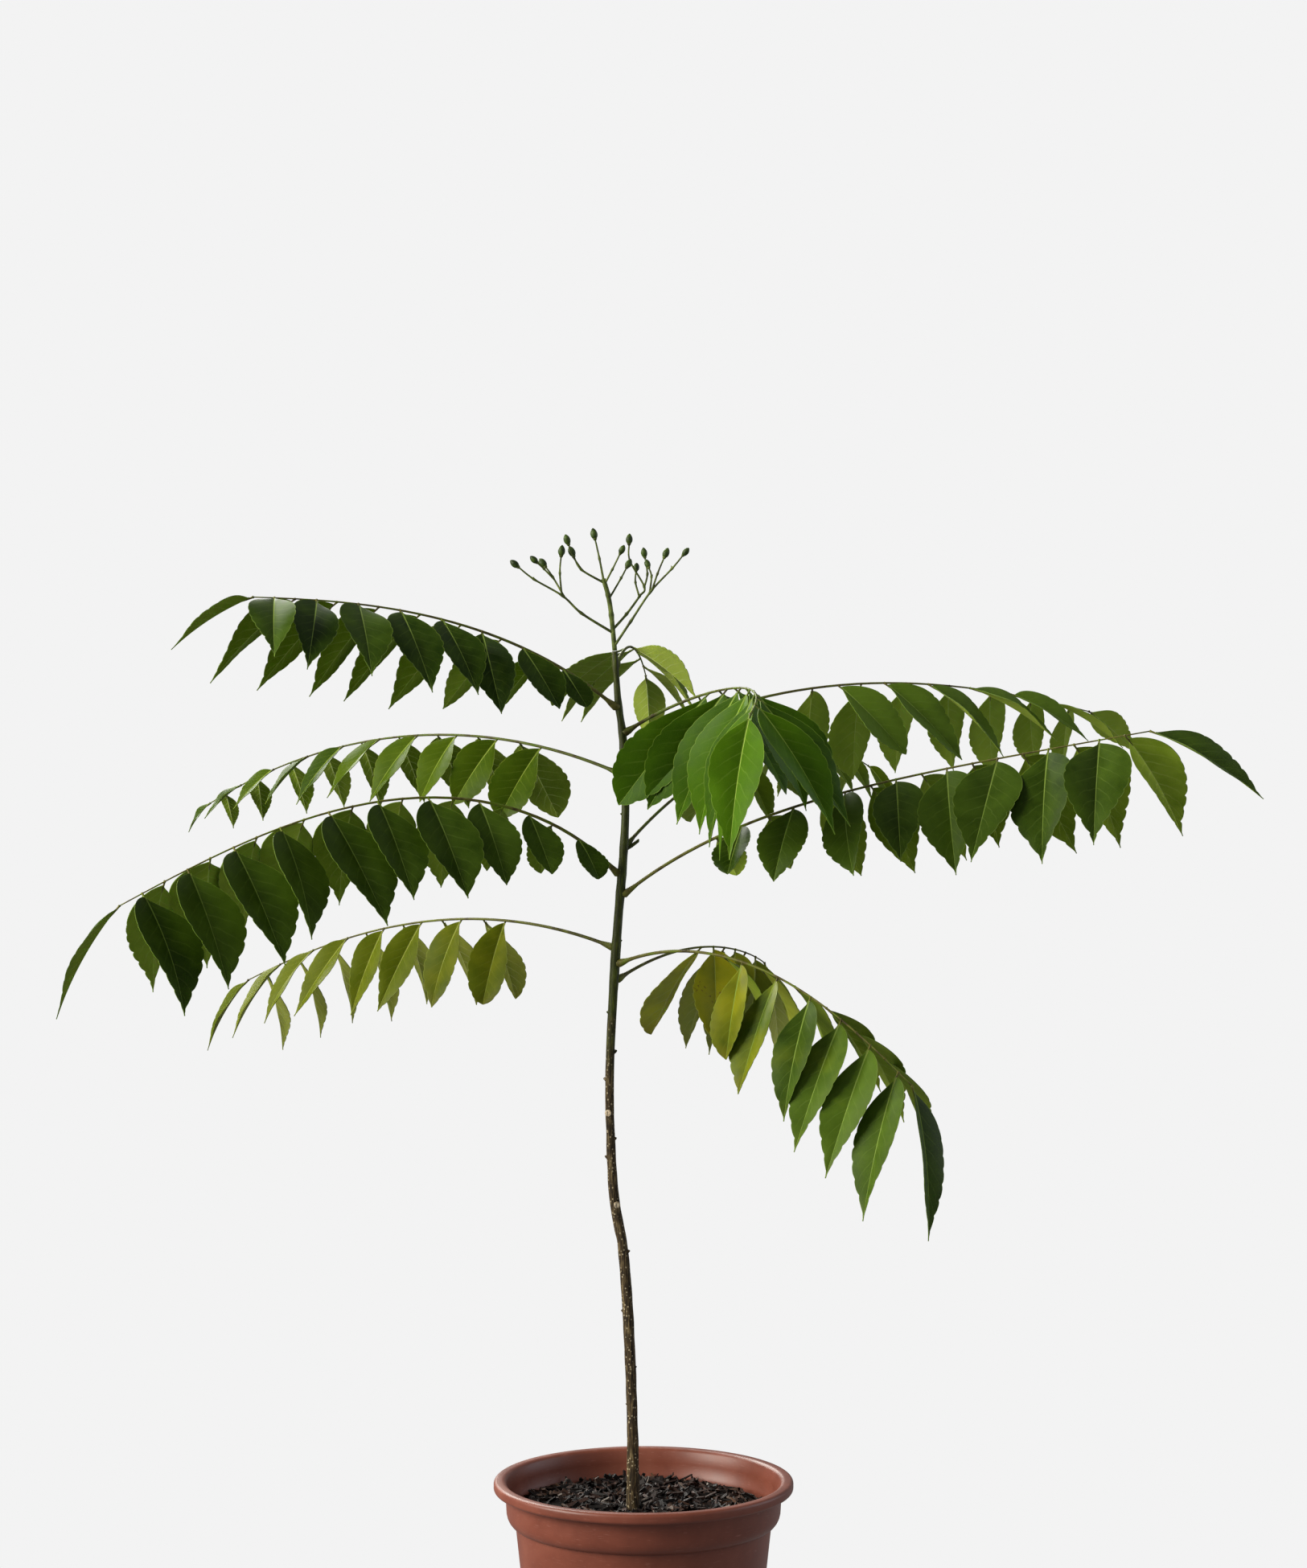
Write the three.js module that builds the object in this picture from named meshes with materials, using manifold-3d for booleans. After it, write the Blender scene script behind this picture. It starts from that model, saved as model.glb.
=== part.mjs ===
// A young curry leaf plant standing in a round nursery pot: one woody stem, eleven
// pinnate fronds and a head of flower buds. Millimetres, +Z up, +X to the right and
// +Y to the back. The origin is the centre of the flat underside of the pot.

import * as THREE from 'three';
import { mergeVertices } from 'three/addons/utils/BufferGeometryUtils.js';
import Module from 'manifold-3d';

const wasm = await Module();
wasm.setup();

// Driving dimensions of the pot
const potHeight = 115.5;
const lipRadius = 65;
const lipDepth = 4.5;
const collarRadius = 60;
const collarBottom = 103;
const shoulderRadius = 55.5;
const shoulderHeight = 96.5;
const footRadius = 45;
const wall = 1.5;
const floorThickness = 2.5;
const potSides = 32;
const drainHoles = 6;
const drainRadius = 4;
const drainCircle = 31;

// Driving dimensions of what stands in it
const gap = 0.3;
const soilHeight = 101.4;
const soilRadius = 57.2;
const soilRings = 5;
const chipRelief = 2.4;
const soilSeed = 77;
const stemDepth = 22;
const stemSides = 8;
const scarRadius = 1.5;
const bladeThickness = 0.7;
const bladeFold = 0.38;
const bladeArch = 14;
const outSwing = 0.12;
const leanSwing = 6;
const rollSwing = 12;
const rachisBase = 1.1;
const rachisTip = 0.62;
const rachisSides = 4;
const sectionTurn = 0.35;
const rachisSteps = 12;
const curveSteps = 40;
const jointSwelling = 0.45;
const budLength = 5.2;
const budRadius = 1.5;
const budSides = 5;
const pedicelRadius = 0.5;

// The stem's centreline from the soil up: height, x, y, radius
const stemLine = [
  [101.5, -4.6, 0, 2.9],
  [137, -4.8, 0.4, 2.45],
  [172, -6, 1, 2.35],
  [199, -7.6, 1.6, 2.4],
  [216, -9.1, 1.9, 2.2],
  [234, -12.3, 2, 2.2],
  [251, -13.8, 1.6, 2],
  [277, -14.7, 0.6, 1.95],
  [303, -14.3, -0.6, 1.9],
  [347, -11.8, -1.8, 1.95],
  [399, -8, -1.2, 1.75],
  [434, -8.8, -0.4, 1.65],
  [452, -11, 0, 1.45],
  [474, -12.5, 0.3, 1.3],
];

// Where old leaves have dropped off the stem: height and the way the scar faces
const leafScars = [
  { height: 234, heading: -70 },
  { height: 274, heading: -110 },
];

// One entry for each frond. height is where it leaves the stem and heading the way it
// points, in degrees from +X towards +Y, with turn added along its length. It leaves at
// the angle rise above level and ends at fall, bend setting how early it comes down. bare
// is the share of its length without leaflets. longest is its longest leaflet, young the
// share of that size at its foot, taper what it loses at its tip, slim a leaflet's width
// over its length and loose how unevenly leaflets hang. Pairs are for the first and the
// last leaflet. nod is the angle that leaflets' faces turn down towards the tip. left and
// right are the two rows as seen from the stem: out is the angle that leaflets hang out
// from upright to their side, lean the angle towards the tip, and roll how far they turn
// about their own ribs, their faces towards the tip. end is the leaflet at the tip: drop
// is how far it hangs below the rachis. Leaflets near the foot of a frond are blunter and
// plumper.
const fronds = [
  { name: 'frond_top_left', seed: 1, height: 450, heading: 208, turn: 0, rise: 37, fall: 0,
    bend: 1.6, length: 177, leaflets: 16, bare: 0.17, longest: 57, young: 0.38, taper: 0.25,
    slim: 0.42, loose: 1, nod: [0, 0],
    left: { out: [30, 50], lean: [-14, 22], roll: [16, 12] },
    right: { out: [20, 18], lean: [28, 38], roll: [20, 36] },
    end: { drop: 36, roll: 18 } },
  { name: 'frond_top_back', seed: 2, height: 468, heading: 78, turn: 0, rise: 35, fall: -45,
    bend: 0.9, length: 66, leaflets: 7, bare: 0.35, longest: 48, young: 0.85, taper: 0.3,
    slim: 0.42, loose: 1, nod: [50, 38],
    left: { out: [33, 27], lean: [18, 16], roll: [-16, -16] },
    right: { out: [40, 30], lean: [14, 14], roll: [-12, -12] },
    end: { drop: 30, roll: 0 } },
  { name: 'frond_upper_left', seed: 3, height: 421, heading: 155, turn: 0, rise: 22, fall: -29,
    bend: 1.04, length: 221, leaflets: 19, bare: 0.18, longest: 41, young: 0.92, taper: 0.58,
    slim: 0.43, loose: 1.3, nod: [0, 0],
    left: { out: [30, 32], lean: [14, 28], roll: [-4, 44] },
    right: { out: [28, 28], lean: [-8, 8], roll: [8, 10] },
    end: { drop: 24, roll: -40 } },
  { name: 'frond_middle_left', seed: 4, height: 378, heading: 200, turn: 0, rise: 47, fall: -28,
    bend: 2, length: 236, leaflets: 20, bare: 0.1, longest: 60, young: 0.33, taper: 0.12,
    slim: 0.5, loose: 1, nod: [0, 0],
    left: { out: [24, 26], lean: [-14, -8], roll: [-8, -22] },
    right: { out: [34, 30], lean: [2, -4], roll: [16, 24] },
    end: { drop: 36, roll: 10 } },
  { name: 'frond_lower_left', seed: 5, height: 346, heading: 150, turn: 0, rise: 18, fall: -24,
    bend: 1.37, length: 206, leaflets: 15, bare: 0.27, longest: 45, young: 0.92, taper: 0.08,
    slim: 0.35, loose: 1, nod: [0, 0],
    left: { out: [24, 30], lean: [4, 16], roll: [-14, 40] },
    right: { out: [24, 26], lean: [-12, 6], roll: [-10, -30] },
    end: { drop: 34, roll: -40 } },
  { name: 'frond_lower_right', seed: 6, height: 339, heading: -30, turn: 0, rise: 22, fall: -41,
    bend: 1.8, length: 157, leaflets: 13, bare: 0.33, longest: 61, young: 0.68, taper: -0.06,
    slim: 0.33, loose: 1, nod: [0, 0],
    left: { out: [46, 44], lean: [-2, 0], roll: [30, 30] },
    right: { out: [22, 24], lean: [0, -5], roll: [-14, -4] },
    end: { drop: 46, roll: 0 } },
  { name: 'frond_lower_back', seed: 7, height: 332, heading: 40, turn: 0, rise: 26, fall: -37,
    bend: 0.62, length: 90, leaflets: 7, bare: 0.55, longest: 54, young: 0.9, taper: 0.1,
    slim: 0.4, loose: 1, nod: [10, 10],
    left: { out: [26, 20], lean: [2, 8], roll: [-12, -12] },
    right: { out: [26, 20], lean: [-16, -10], roll: [-30, -30] },
    end: { drop: 45, roll: 0 } },
  { name: 'frond_upper_right', seed: 8, height: 431, heading: 28, turn: 0, rise: 27, fall: -11,
    bend: 1.47, length: 255, leaflets: 14, bare: 0.385, longest: 52, young: 0.88, taper: 0.35,
    slim: 0.42, loose: 1, nod: [0, 0],
    left: { out: [20, 20], lean: [13, 15], roll: [0, 0] },
    right: { out: [34, 40], lean: [26, 48], roll: [2, 44] },
    end: { drop: 26, roll: -40 } },
  { name: 'frond_middle_right', seed: 9, height: 369, heading: -12, turn: 0, rise: 39, fall: 10,
    bend: 3.06, length: 241, leaflets: 18, bare: 0.195, longest: 54, young: 0.42, taper: 0,
    slim: 0.5, loose: 2.2, nod: [0, 0],
    left: { out: [30, 32], lean: [14, 12], roll: [-10, 30] },
    right: { out: [30, 32], lean: [0, 8], roll: [-8, 8] },
    end: { drop: 45, roll: 16 } },
  { name: 'frond_front', seed: 10, height: 439, heading: -8, turn: -102, rise: 34, fall: -26,
    bend: 1.1, length: 119, leaflets: 15, bare: 0.32, longest: 67, young: 0.92, taper: 0.06,
    slim: 0.36, loose: 1, nod: [24, 6],
    left: { out: [40, 28], lean: [-4, 6], roll: [50, 40] },
    right: { out: [18, 10], lean: [-17, 0], roll: [38, 20] },
    end: { drop: 39, roll: 0 } },
  { name: 'frond_young_back', seed: 11, height: 390, heading: 54, turn: 0, rise: 34, fall: -27,
    bend: 0.74, length: 222, leaflets: 13, bare: 0.36, longest: 33, young: 0.95, taper: 0.4,
    slim: 0.42, loose: 1, nod: [0, 0],
    left: { out: [30, 30], lean: [10, 14], roll: [-12, -12] },
    right: { out: [30, 30], lean: [10, 14], roll: [-12, -12] },
    end: { drop: 40, roll: 0 } },
];

// The two margins of a leaflet: share of its length, and its half width as a multiple of
// the smooth leaf curve, so that the far half is toothed. The half towards the tip of the
// frond is widest nearer its foot than the other one.
const leftMargin = [[0.17, 1], [0.36, 1.04], [0.54, 0.88], [0.66, 1.12], [0.83, 0.98]];
const rightMargin = [[0.2, 1], [0.4, 1], [0.6, 0.88], [0.71, 1.14], [0.86, 1]];
const ribMiddle = 0.42;
const leafFootPower = 1;
const leafTipPower = 1.5;
const leafSkew = 0.3;
const bluntness = 0.9;
const plumpness = 0.3;

// The flower head: each branch's route as x, y, z, from inside its parent to its end, its
// radius at the root, and whether it ends in a bud
const flowerBranches = [
  { route: [[-12.5, 0.3, 474.3], [-14, 0, 489.7], [-15.4, -0.4, 498.4], [-17.5, -0.8, 505.4]],
    radius: 1.3 },
  { route: [[-13.2, 0, 482], [-26.9, -3, 490.4], [-34.9, -5, 497.7], [-47.2, -8, 504.7],
      [-53.5, -9, 509.6]], radius: 0.8, bud: true },
  { route: [[-34.1, -4.6, 497.1], [-39.3, -3, 506.1], [-42.2, -1.4, 510.2]], radius: 0.6,
    bud: true },
  { route: [[-38.6, -3.3, 504.9], [-43, -4, 509.4], [-45.6, -4.8, 511.8]], radius: 0.5,
    bud: true },
  { route: [[-35.3, -5.2, 498], [-36.1, -6, 507.5], [-35.6, -6, 514.4]], radius: 0.6,
    bud: true },
  { route: [[-17, -0.7, 503.6], [-26.9, -3, 509.2], [-30, -2.6, 514.6]], radius: 0.7, bud: true },
  { route: [[-26.4, -3, 508.8], [-30.4, -5, 514.6], [-32.2, -6, 519.4]], radius: 0.5, bud: true },
  { route: [[-17.4, -0.8, 505], [-19.2, 2, 514.4], [-21, 3, 522.5]], radius: 0.7, bud: true },
  { route: [[-16.8, -0.6, 503.2], [-13.5, -4, 509.2], [-10.3, -6, 515.5]], radius: 0.6,
    bud: true },
  { route: [[-15.1, -0.3, 496.5], [-9.8, 4, 506], [-7.6, 6, 510.4]], radius: 0.6, bud: true },
  { route: [[-13.4, 0, 483.4], [-7.4, 4, 490.4], [-1.8, 8, 498.4], [0.3, 9, 502.5],
      [-6, 11, 514], [-6.4, 12, 521]], radius: 0.8, bud: true },
  { route: [[0.1, 8.9, 502], [1.6, 9.5, 508], [0.6, 9, 515]], radius: 0.6, bud: true },
  { route: [[-1.9, 7.9, 498.2], [-3.6, 10.5, 504.6], [-3.4, 13, 509.4]], radius: 0.6, bud: true },
  { route: [[-12.6, 0.2, 476.4], [-5.5, -3, 486.9], [3.1, -7, 499.5], [12.3, -10, 509.2],
      [16.7, -12, 514.4]], radius: 0.8, bud: true },
  { route: [[2.6, -6.8, 498.8], [3.4, -5, 506], [2.4, -4, 509.6]], radius: 0.6, bud: true },
  { route: [[3.7, -7.3, 500.2], [6, -9, 507], [8.7, -8.4, 513.6]], radius: 0.6, bud: true },
];
const budShape = [[0.3, 1], [0.7, 0.85], [1, 0.2]];

const up = new THREE.Vector3(0, 0, 1);
const degrees = (value) => THREE.MathUtils.degToRad(value);
const vector = (point) => new THREE.Vector3(...point);

// A repeatable draw between 0 and 1
function drawAt(seed, index) {
  const wave = Math.sin(seed * 127.1 + index * 311.7) * 43758.5453;
  return wave - Math.floor(wave);
}

function swing(seed, index) {
  return 2 * drawAt(seed, index) - 1;
}

function solidOf(geometry) {
  const bare = geometry.clone();
  bare.deleteAttribute('normal');
  bare.deleteAttribute('uv');
  const merged = mergeVertices(bare);
  return new wasm.Manifold(new wasm.Mesh({
    numProp: 3,
    vertProperties: new Float32Array(merged.attributes.position.array),
    triVerts: new Uint32Array(merged.index.array),
  }));
}

function geometryOf(solid) {
  const mesh = solid.getMesh();
  const geometry = new THREE.BufferGeometry();
  geometry.setAttribute('position', new THREE.BufferAttribute(mesh.vertProperties, 3));
  geometry.setIndex(new THREE.BufferAttribute(mesh.triVerts, 1));
  geometry.computeVertexNormals();
  return geometry;
}

function fused(geometries) {
  return geometries.map(solidOf).reduce((body, piece) => body.add(piece));
}

function closedSurface(points, triangles) {
  const geometry = new THREE.BufferGeometry().setFromPoints(points);
  geometry.setIndex(triangles);
  return geometry;
}

// A round bar along points with a radius at each, closed at both ends
function taperedBar(points, radii, sides, firstWay = null) {
  const ways = points.map((point, i) => {
    const ahead = points[Math.min(i + 1, points.length - 1)];
    const behind = points[Math.max(i - 1, 0)];
    return ahead.clone().sub(behind).normalize();
  });
  if (firstWay) ways[0] = firstWay.clone();
  let across = new THREE.Vector3(0, 1, 0);
  if (Math.abs(ways[0].y) > 0.9) across = new THREE.Vector3(1, 0, 0);
  const corners = [];
  points.forEach((point, i) => {
    across = across.clone().addScaledVector(ways[i], -across.dot(ways[i])).normalize();
    const other = ways[i].clone().cross(across);
    for (let k = 0; k < sides; k += 1) {
      const angle = (2 * Math.PI * k) / sides + sectionTurn;
      corners.push(point.clone()
        .addScaledVector(across, radii[i] * Math.cos(angle))
        .addScaledVector(other, radii[i] * Math.sin(angle)));
    }
  });
  const triangles = [];
  const last = (points.length - 1) * sides;
  for (let k = 0; k < sides; k += 1) {
    const next = (k + 1) % sides;
    for (let ring = 0; ring < last; ring += sides) {
      triangles.push(ring + k, ring + next, ring + sides + next);
      triangles.push(ring + k, ring + sides + next, ring + sides + k);
    }
    if (k > 0 && k < sides - 1) {
      triangles.push(0, k + 1, k);
      triangles.push(last, last + k, last + k + 1);
    }
  }
  return closedSurface(corners, triangles);
}

// The stem's centre and radius at a height
function stemAt(height) {
  let i = 0;
  while (i < stemLine.length - 2 && stemLine[i + 1][0] < height) i += 1;
  const [below, above] = [stemLine[i], stemLine[i + 1]];
  const share = (height - below[0]) / (above[0] - below[0]);
  const between = (k) => below[k] + (above[k] - below[k]) * share;
  return { centre: new THREE.Vector3(between(1), between(2), height), radius: between(3) };
}

// A frond's rachis as evenly spaced points and the way it runs at each
function rachisOf(frond) {
  const { centre, radius } = stemAt(frond.height);
  const heading = degrees(frond.heading);
  const outwards = new THREE.Vector3(Math.cos(heading), Math.sin(heading), 0);
  const point = centre.addScaledVector(outwards, radius + gap);
  const points = [point.clone()];
  const ways = [];
  for (let k = 0; k < curveSteps; k += 1) {
    const share = (k + 0.5) / curveSteps;
    const drooped = (1 - share) ** frond.bend;
    const pitch = degrees(frond.fall + (frond.rise - frond.fall) * drooped);
    const yaw = degrees(frond.heading + frond.turn * share);
    const way = new THREE.Vector3(
      Math.cos(pitch) * Math.cos(yaw),
      Math.cos(pitch) * Math.sin(yaw),
      Math.sin(pitch),
    );
    point.addScaledVector(way, frond.length / curveSteps);
    points.push(point.clone());
    ways.push(way);
  }
  ways.push(ways[ways.length - 1].clone());
  return { points, ways, outwards };
}

function onRachis(rachis, share) {
  const place = share * curveSteps;
  const i = Math.min(Math.floor(place), curveSteps - 1);
  return {
    point: rachis.points[i].clone().lerp(rachis.points[i + 1], place - i),
    way: rachis.ways[i].clone().lerp(rachis.ways[i + 1], place - i).normalize(),
  };
}

// Where each leaflet of a frond grows: its root, the way it hangs, the way its upper face
// looks, its length and its width. The last one ends the frond.
function leafletsOf(frond, rachis) {
  const leaflets = [];
  for (let i = 0; i < frond.leaflets; i += 1) {
    const isLast = i === frond.leaflets - 1;
    const order = i / (frond.leaflets - 1);
    const share = isLast ? 0.985 : frond.bare + (0.985 - frond.bare) * order ** 0.95;
    const { point, way } = onRachis(rachis, share);
    const ahead = new THREE.Vector3(way.x, way.y, 0).normalize();
    const row = i % 2 === 0 ? 1 : -1;
    const side = up.clone().cross(ahead).multiplyScalar(row);
    const youth = (1 - order) ** 4;
    const size = (1 - (1 - frond.young) * (1 - order) ** 3) * (1 - frond.taper * order ** 2);
    const length = frond.longest * size * (1 + 0.06 * swing(frond.seed, 10 * i));
    const slim = frond.slim * (1 + plumpness * youth);
    const width = length * slim * (1 + 0.05 * swing(frond.seed, 10 * i + 1));
    const vary = (k, most) => frond.loose * most * swing(frond.seed, 10 * i + k);
    const along = ([first, final]) => first + (final - first) * order;
    const { out, lean, roll } = row === 1 ? frond.left : frond.right;
    const spread = degrees(along(out) * (1 + vary(2, outSwing)));
    const sweep = degrees(along(lean) + vary(3, leanSwing));
    const turn = degrees(row * (along(roll) + vary(4, rollSwing)));
    const nod = degrees(along(frond.nod));
    const above = up.clone().multiplyScalar(Math.cos(nod)).addScaledVector(ahead, Math.sin(nod));
    let hang;
    let face;
    if (isLast) {
      const pitch = degrees(frond.fall - frond.end.drop);
      hang = ahead.clone().multiplyScalar(Math.cos(pitch)).addScaledVector(up, Math.sin(pitch));
      face = up.clone().multiplyScalar(Math.cos(pitch)).addScaledVector(ahead, -Math.sin(pitch));
      face.applyAxisAngle(hang, degrees(frond.end.roll));
    } else {
      hang = above.clone().multiplyScalar(-Math.cos(spread)).addScaledVector(side, Math.sin(spread));
      hang.multiplyScalar(Math.cos(sweep)).addScaledVector(ahead, Math.sin(sweep)).normalize();
      face = side.clone().multiplyScalar(Math.cos(spread)).addScaledVector(above, Math.sin(spread));
      face.addScaledVector(hang, -face.dot(hang)).normalize();
      face.applyAxisAngle(hang, turn);
    }
    const skew = isLast ? 0 : leafSkew * row;
    const tipPower = leafTipPower - bluntness * youth;
    leaflets.push({ root: point, hang, face, length, width, skew, tipPower });
  }
  return leaflets;
}

// Half width of a smooth leaf, 1 at its widest, at a share of its length. A higher power
// makes that end narrower.
function leafCurve(share, footPower, tipPower) {
  const widest = footPower / (footPower + tipPower);
  const foot = (share / widest) ** footPower;
  return foot * ((1 - share) / (1 - widest)) ** tipPower;
}

// A thin blade, arched along its rib and folded up along it, with a toothed far half. Both
// faces have the same triangles.
function bladeOf({ root, hang, face, length, width, skew, tipPower }) {
  const across = face.clone().cross(hang);
  const arch = degrees(bladeArch);
  const onBlade = (share, aside, side) => {
    const bow = arch * share * (1 - 0.8 * share) * length;
    const slope = arch * (1 - 1.6 * share);
    const normal = face.clone().multiplyScalar(Math.cos(slope))
      .addScaledVector(hang, -Math.sin(slope));
    const rise = Math.abs(aside) * bladeFold + side * (bladeThickness / 2);
    return root.clone()
      .addScaledVector(hang, share * length)
      .addScaledVector(face, bow)
      .addScaledVector(across, aside)
      .addScaledVector(normal, rise);
  };
  const margin = (rows, sign) => rows.map(([share, tooth]) => {
    const curve = leafCurve(share, leafFootPower + sign * skew, tipPower);
    return [share, (sign * width * tooth * curve) / 2];
  });
  const outline = [
    [0, 0],
    ...margin(leftMargin, -1),
    [1, 0],
    ...margin(rightMargin, 1).reverse(),
  ];
  const count = outline.length;
  const below = count + 1;
  const points = [];
  [1, -1].forEach((side) => {
    [...outline, [ribMiddle, 0]].forEach(([share, aside]) => {
      points.push(onBlade(share, aside, side));
    });
  });
  const triangles = [];
  for (let k = 0; k < count; k += 1) {
    const next = (k + 1) % count;
    triangles.push(k, next, count);
    triangles.push(below + k, below + count, below + next);
    triangles.push(k, below + k, below + next);
    triangles.push(k, below + next, next);
  }
  return closedSurface(points, triangles);
}

function frondSolid(frond) {
  const rachis = rachisOf(frond);
  const points = [];
  const radii = [];
  for (let k = 0; k <= rachisSteps; k += 1) {
    const share = (k / rachisSteps) ** 1.3;
    points.push(onRachis(rachis, share).point);
    const swelling = jointSwelling * Math.max(0, 1 - k / 2);
    radii.push(rachisBase + (rachisTip - rachisBase) * share + swelling);
  }
  const bar = taperedBar(points, radii, rachisSides, rachis.outwards);
  return fused([bar, ...leafletsOf(frond, rachis).map(bladeOf)]);
}

function stemSolid() {
  const [foot] = stemLine;
  const buried = new THREE.Vector3(foot[1], foot[2], soilHeight - stemDepth);
  const points = [buried, ...stemLine.map(([z, x, y]) => new THREE.Vector3(x, y, z))];
  const radii = [foot[3], ...stemLine.map((row) => row[3])];
  const pieces = [taperedBar(points, radii, stemSides, up)];
  leafScars.forEach(({ height, heading }) => {
    const { centre, radius } = stemAt(height);
    const scar = new THREE.IcosahedronGeometry(scarRadius, 0);
    scar.translate(
      centre.x + radius * 0.8 * Math.cos(degrees(heading)),
      centre.y + radius * 0.8 * Math.sin(degrees(heading)),
      height,
    );
    pieces.push(scar);
  });
  return fused(pieces);
}

// A body turned round +Z from radius and height pairs, stood up because a lathe turns
// round Y
function turned(profile, sides) {
  const geometry = new THREE.LatheGeometry(profile.map(([r, z]) => new THREE.Vector2(r, z)), sides);
  geometry.rotateX(Math.PI / 2);
  return geometry;
}

function wallInside(height) {
  const slope = (shoulderRadius - footRadius) / shoulderHeight;
  if (height <= shoulderHeight) return footRadius + slope * height - wall;
  return collarRadius - wall;
}

function potSolid() {
  const lipBottom = potHeight - lipDepth;
  const shoulder = [0.33, 0.67].map((share) => {
    const angle = (share * Math.PI) / 2;
    return [
      shoulderRadius + (collarRadius - 0.5 - shoulderRadius) * Math.sin(angle),
      collarBottom - (collarBottom - shoulderHeight) * Math.cos(angle),
    ];
  });
  const inside = shoulder.map(([r, z]) => [r - wall, z + wall * 0.6]).reverse();
  const profile = [
    [0, 0],
    [footRadius - 1.5, 0],
    [footRadius, 1.5],
    [shoulderRadius, shoulderHeight],
    ...shoulder,
    [collarRadius - 0.5, collarBottom],
    [collarRadius, lipBottom],
    [lipRadius - 0.8, lipBottom],
    [lipRadius, lipBottom + 1],
    [lipRadius, potHeight - 1],
    [lipRadius - 0.8, potHeight],
    [lipRadius - 2.6, potHeight],
    [collarRadius - wall + 1.2, potHeight - 4],
    [collarRadius - wall, collarBottom + 1.5],
    ...inside,
    [shoulderRadius - wall, shoulderHeight + 0.4],
    [wallInside(floorThickness), floorThickness],
    [0, floorThickness],
  ];
  let body = solidOf(turned(profile, potSides));
  for (let k = 0; k < drainHoles; k += 1) {
    const angle = (2 * Math.PI * k) / drainHoles;
    const hole = turned([[0, -1], [drainRadius, -1], [drainRadius, floorThickness + 1],
      [0, floorThickness + 1]], 16);
    hole.translate(drainCircle * Math.cos(angle), drainCircle * Math.sin(angle), 0);
    body = body.subtract(solidOf(hole));
  }
  return body;
}

// Soil fills the pot up to its collar, with a plain hole for the stem. Its top is rough
// with husk and bark chips.
function soilSolid() {
  const top = [];
  for (let k = 0; k <= soilRings; k += 1) {
    top.push([(k / soilRings) * soilRadius, soilHeight]);
  }
  const under = floorThickness + gap;
  const profile = [
    [0, under],
    [wallInside(under) - gap, under],
    [shoulderRadius - wall - gap - 0.5, shoulderHeight],
    [shoulderRadius - wall - gap, shoulderHeight + 1.2],
    [soilRadius - 0.6, soilHeight - 1],
    ...top.reverse(),
  ];
  const bare = turned(profile, potSides);
  bare.deleteAttribute('normal');
  bare.deleteAttribute('uv');
  const ground = mergeVertices(bare);
  const position = ground.attributes.position;
  for (let i = 0; i < position.count; i += 1) {
    const reach = Math.hypot(position.getX(i), position.getY(i));
    const isTop = position.getZ(i) > soilHeight - 0.1 && reach < soilRadius - 1;
    if (isTop) position.setZ(i, soilHeight + chipRelief * (drawAt(soilSeed, i) - 0.5));
  }
  const [, x, y, radius] = stemLine[0];
  const depth = soilHeight - stemDepth - gap;
  const hole = turned([[0, depth], [radius + gap, depth], [radius + gap, potHeight],
    [0, potHeight]], 12);
  hole.translate(x, y, 0);
  return solidOf(ground).subtract(solidOf(hole));
}

// Each branch is one bar that swells into its bud
function flowerHeadSolid() {
  const pieces = flowerBranches.map(({ route, radius, bud }) => {
    const points = route.map(vector);
    const count = points.length - 1;
    const radii = points.map((point, i) => radius + (pedicelRadius - radius) * (i / count));
    const way = points[count].clone().sub(points[count - 1]).normalize();
    if (bud) {
      const foot = points[count].clone();
      budShape.forEach(([share, swelling]) => {
        points.push(foot.clone().addScaledVector(way, share * budLength));
        radii.push(swelling * budRadius);
      });
    }
    return taperedBar(points, radii, budSides);
  });
  return fused(pieces);
}

const finishes = {
  pot: { color: '#6b3f33', roughness: 0.45 },
  soil: { color: '#2a211c', roughness: 0.95 },
  bark: { color: '#55503a', roughness: 0.8 },
  leaf: { color: '#33500f', roughness: 0.5 },
  youngLeaf: { color: '#5a6a1c', roughness: 0.55 },
  bud: { color: '#3c4a22', roughness: 0.6 },
};

const plant = new THREE.Group();

function addPiece(name, solid, finish) {
  const material = new THREE.MeshStandardMaterial({ ...finishes[finish], metalness: 0 });
  const mesh = new THREE.Mesh(geometryOf(solid), material);
  mesh.name = name;
  plant.add(mesh);
}

addPiece('pot', potSolid(), 'pot');
addPiece('soil', soilSolid(), 'soil');
addPiece('stem', stemSolid(), 'bark');
fronds.forEach((frond) => {
  addPiece(frond.name, frondSolid(frond), frond.longest < 45 ? 'youngLeaf' : 'leaf');
});
addPiece('flower_head', flowerHeadSolid(), 'bud');

export default plant;
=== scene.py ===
# A young curry leaf plant in its nursery pot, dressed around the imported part.
# Shapes are worked out in millimetres and scaled to metres as each piece is made.
import math
import random

import bmesh
import bpy
from mathutils import Matrix, Vector, noise


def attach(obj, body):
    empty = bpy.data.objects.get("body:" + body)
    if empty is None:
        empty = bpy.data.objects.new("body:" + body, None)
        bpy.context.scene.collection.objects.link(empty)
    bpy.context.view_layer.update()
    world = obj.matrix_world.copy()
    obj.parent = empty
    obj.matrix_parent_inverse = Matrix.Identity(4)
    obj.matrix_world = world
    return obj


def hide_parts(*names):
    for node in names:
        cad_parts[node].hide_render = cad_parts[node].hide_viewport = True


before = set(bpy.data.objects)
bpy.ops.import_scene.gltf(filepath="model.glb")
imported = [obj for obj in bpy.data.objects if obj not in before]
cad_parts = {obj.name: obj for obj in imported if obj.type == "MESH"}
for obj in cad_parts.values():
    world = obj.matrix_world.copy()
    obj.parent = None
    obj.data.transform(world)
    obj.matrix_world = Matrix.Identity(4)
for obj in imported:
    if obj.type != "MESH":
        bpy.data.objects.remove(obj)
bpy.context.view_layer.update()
mm = 0.001
up = Vector((0, 0, 1))
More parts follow.
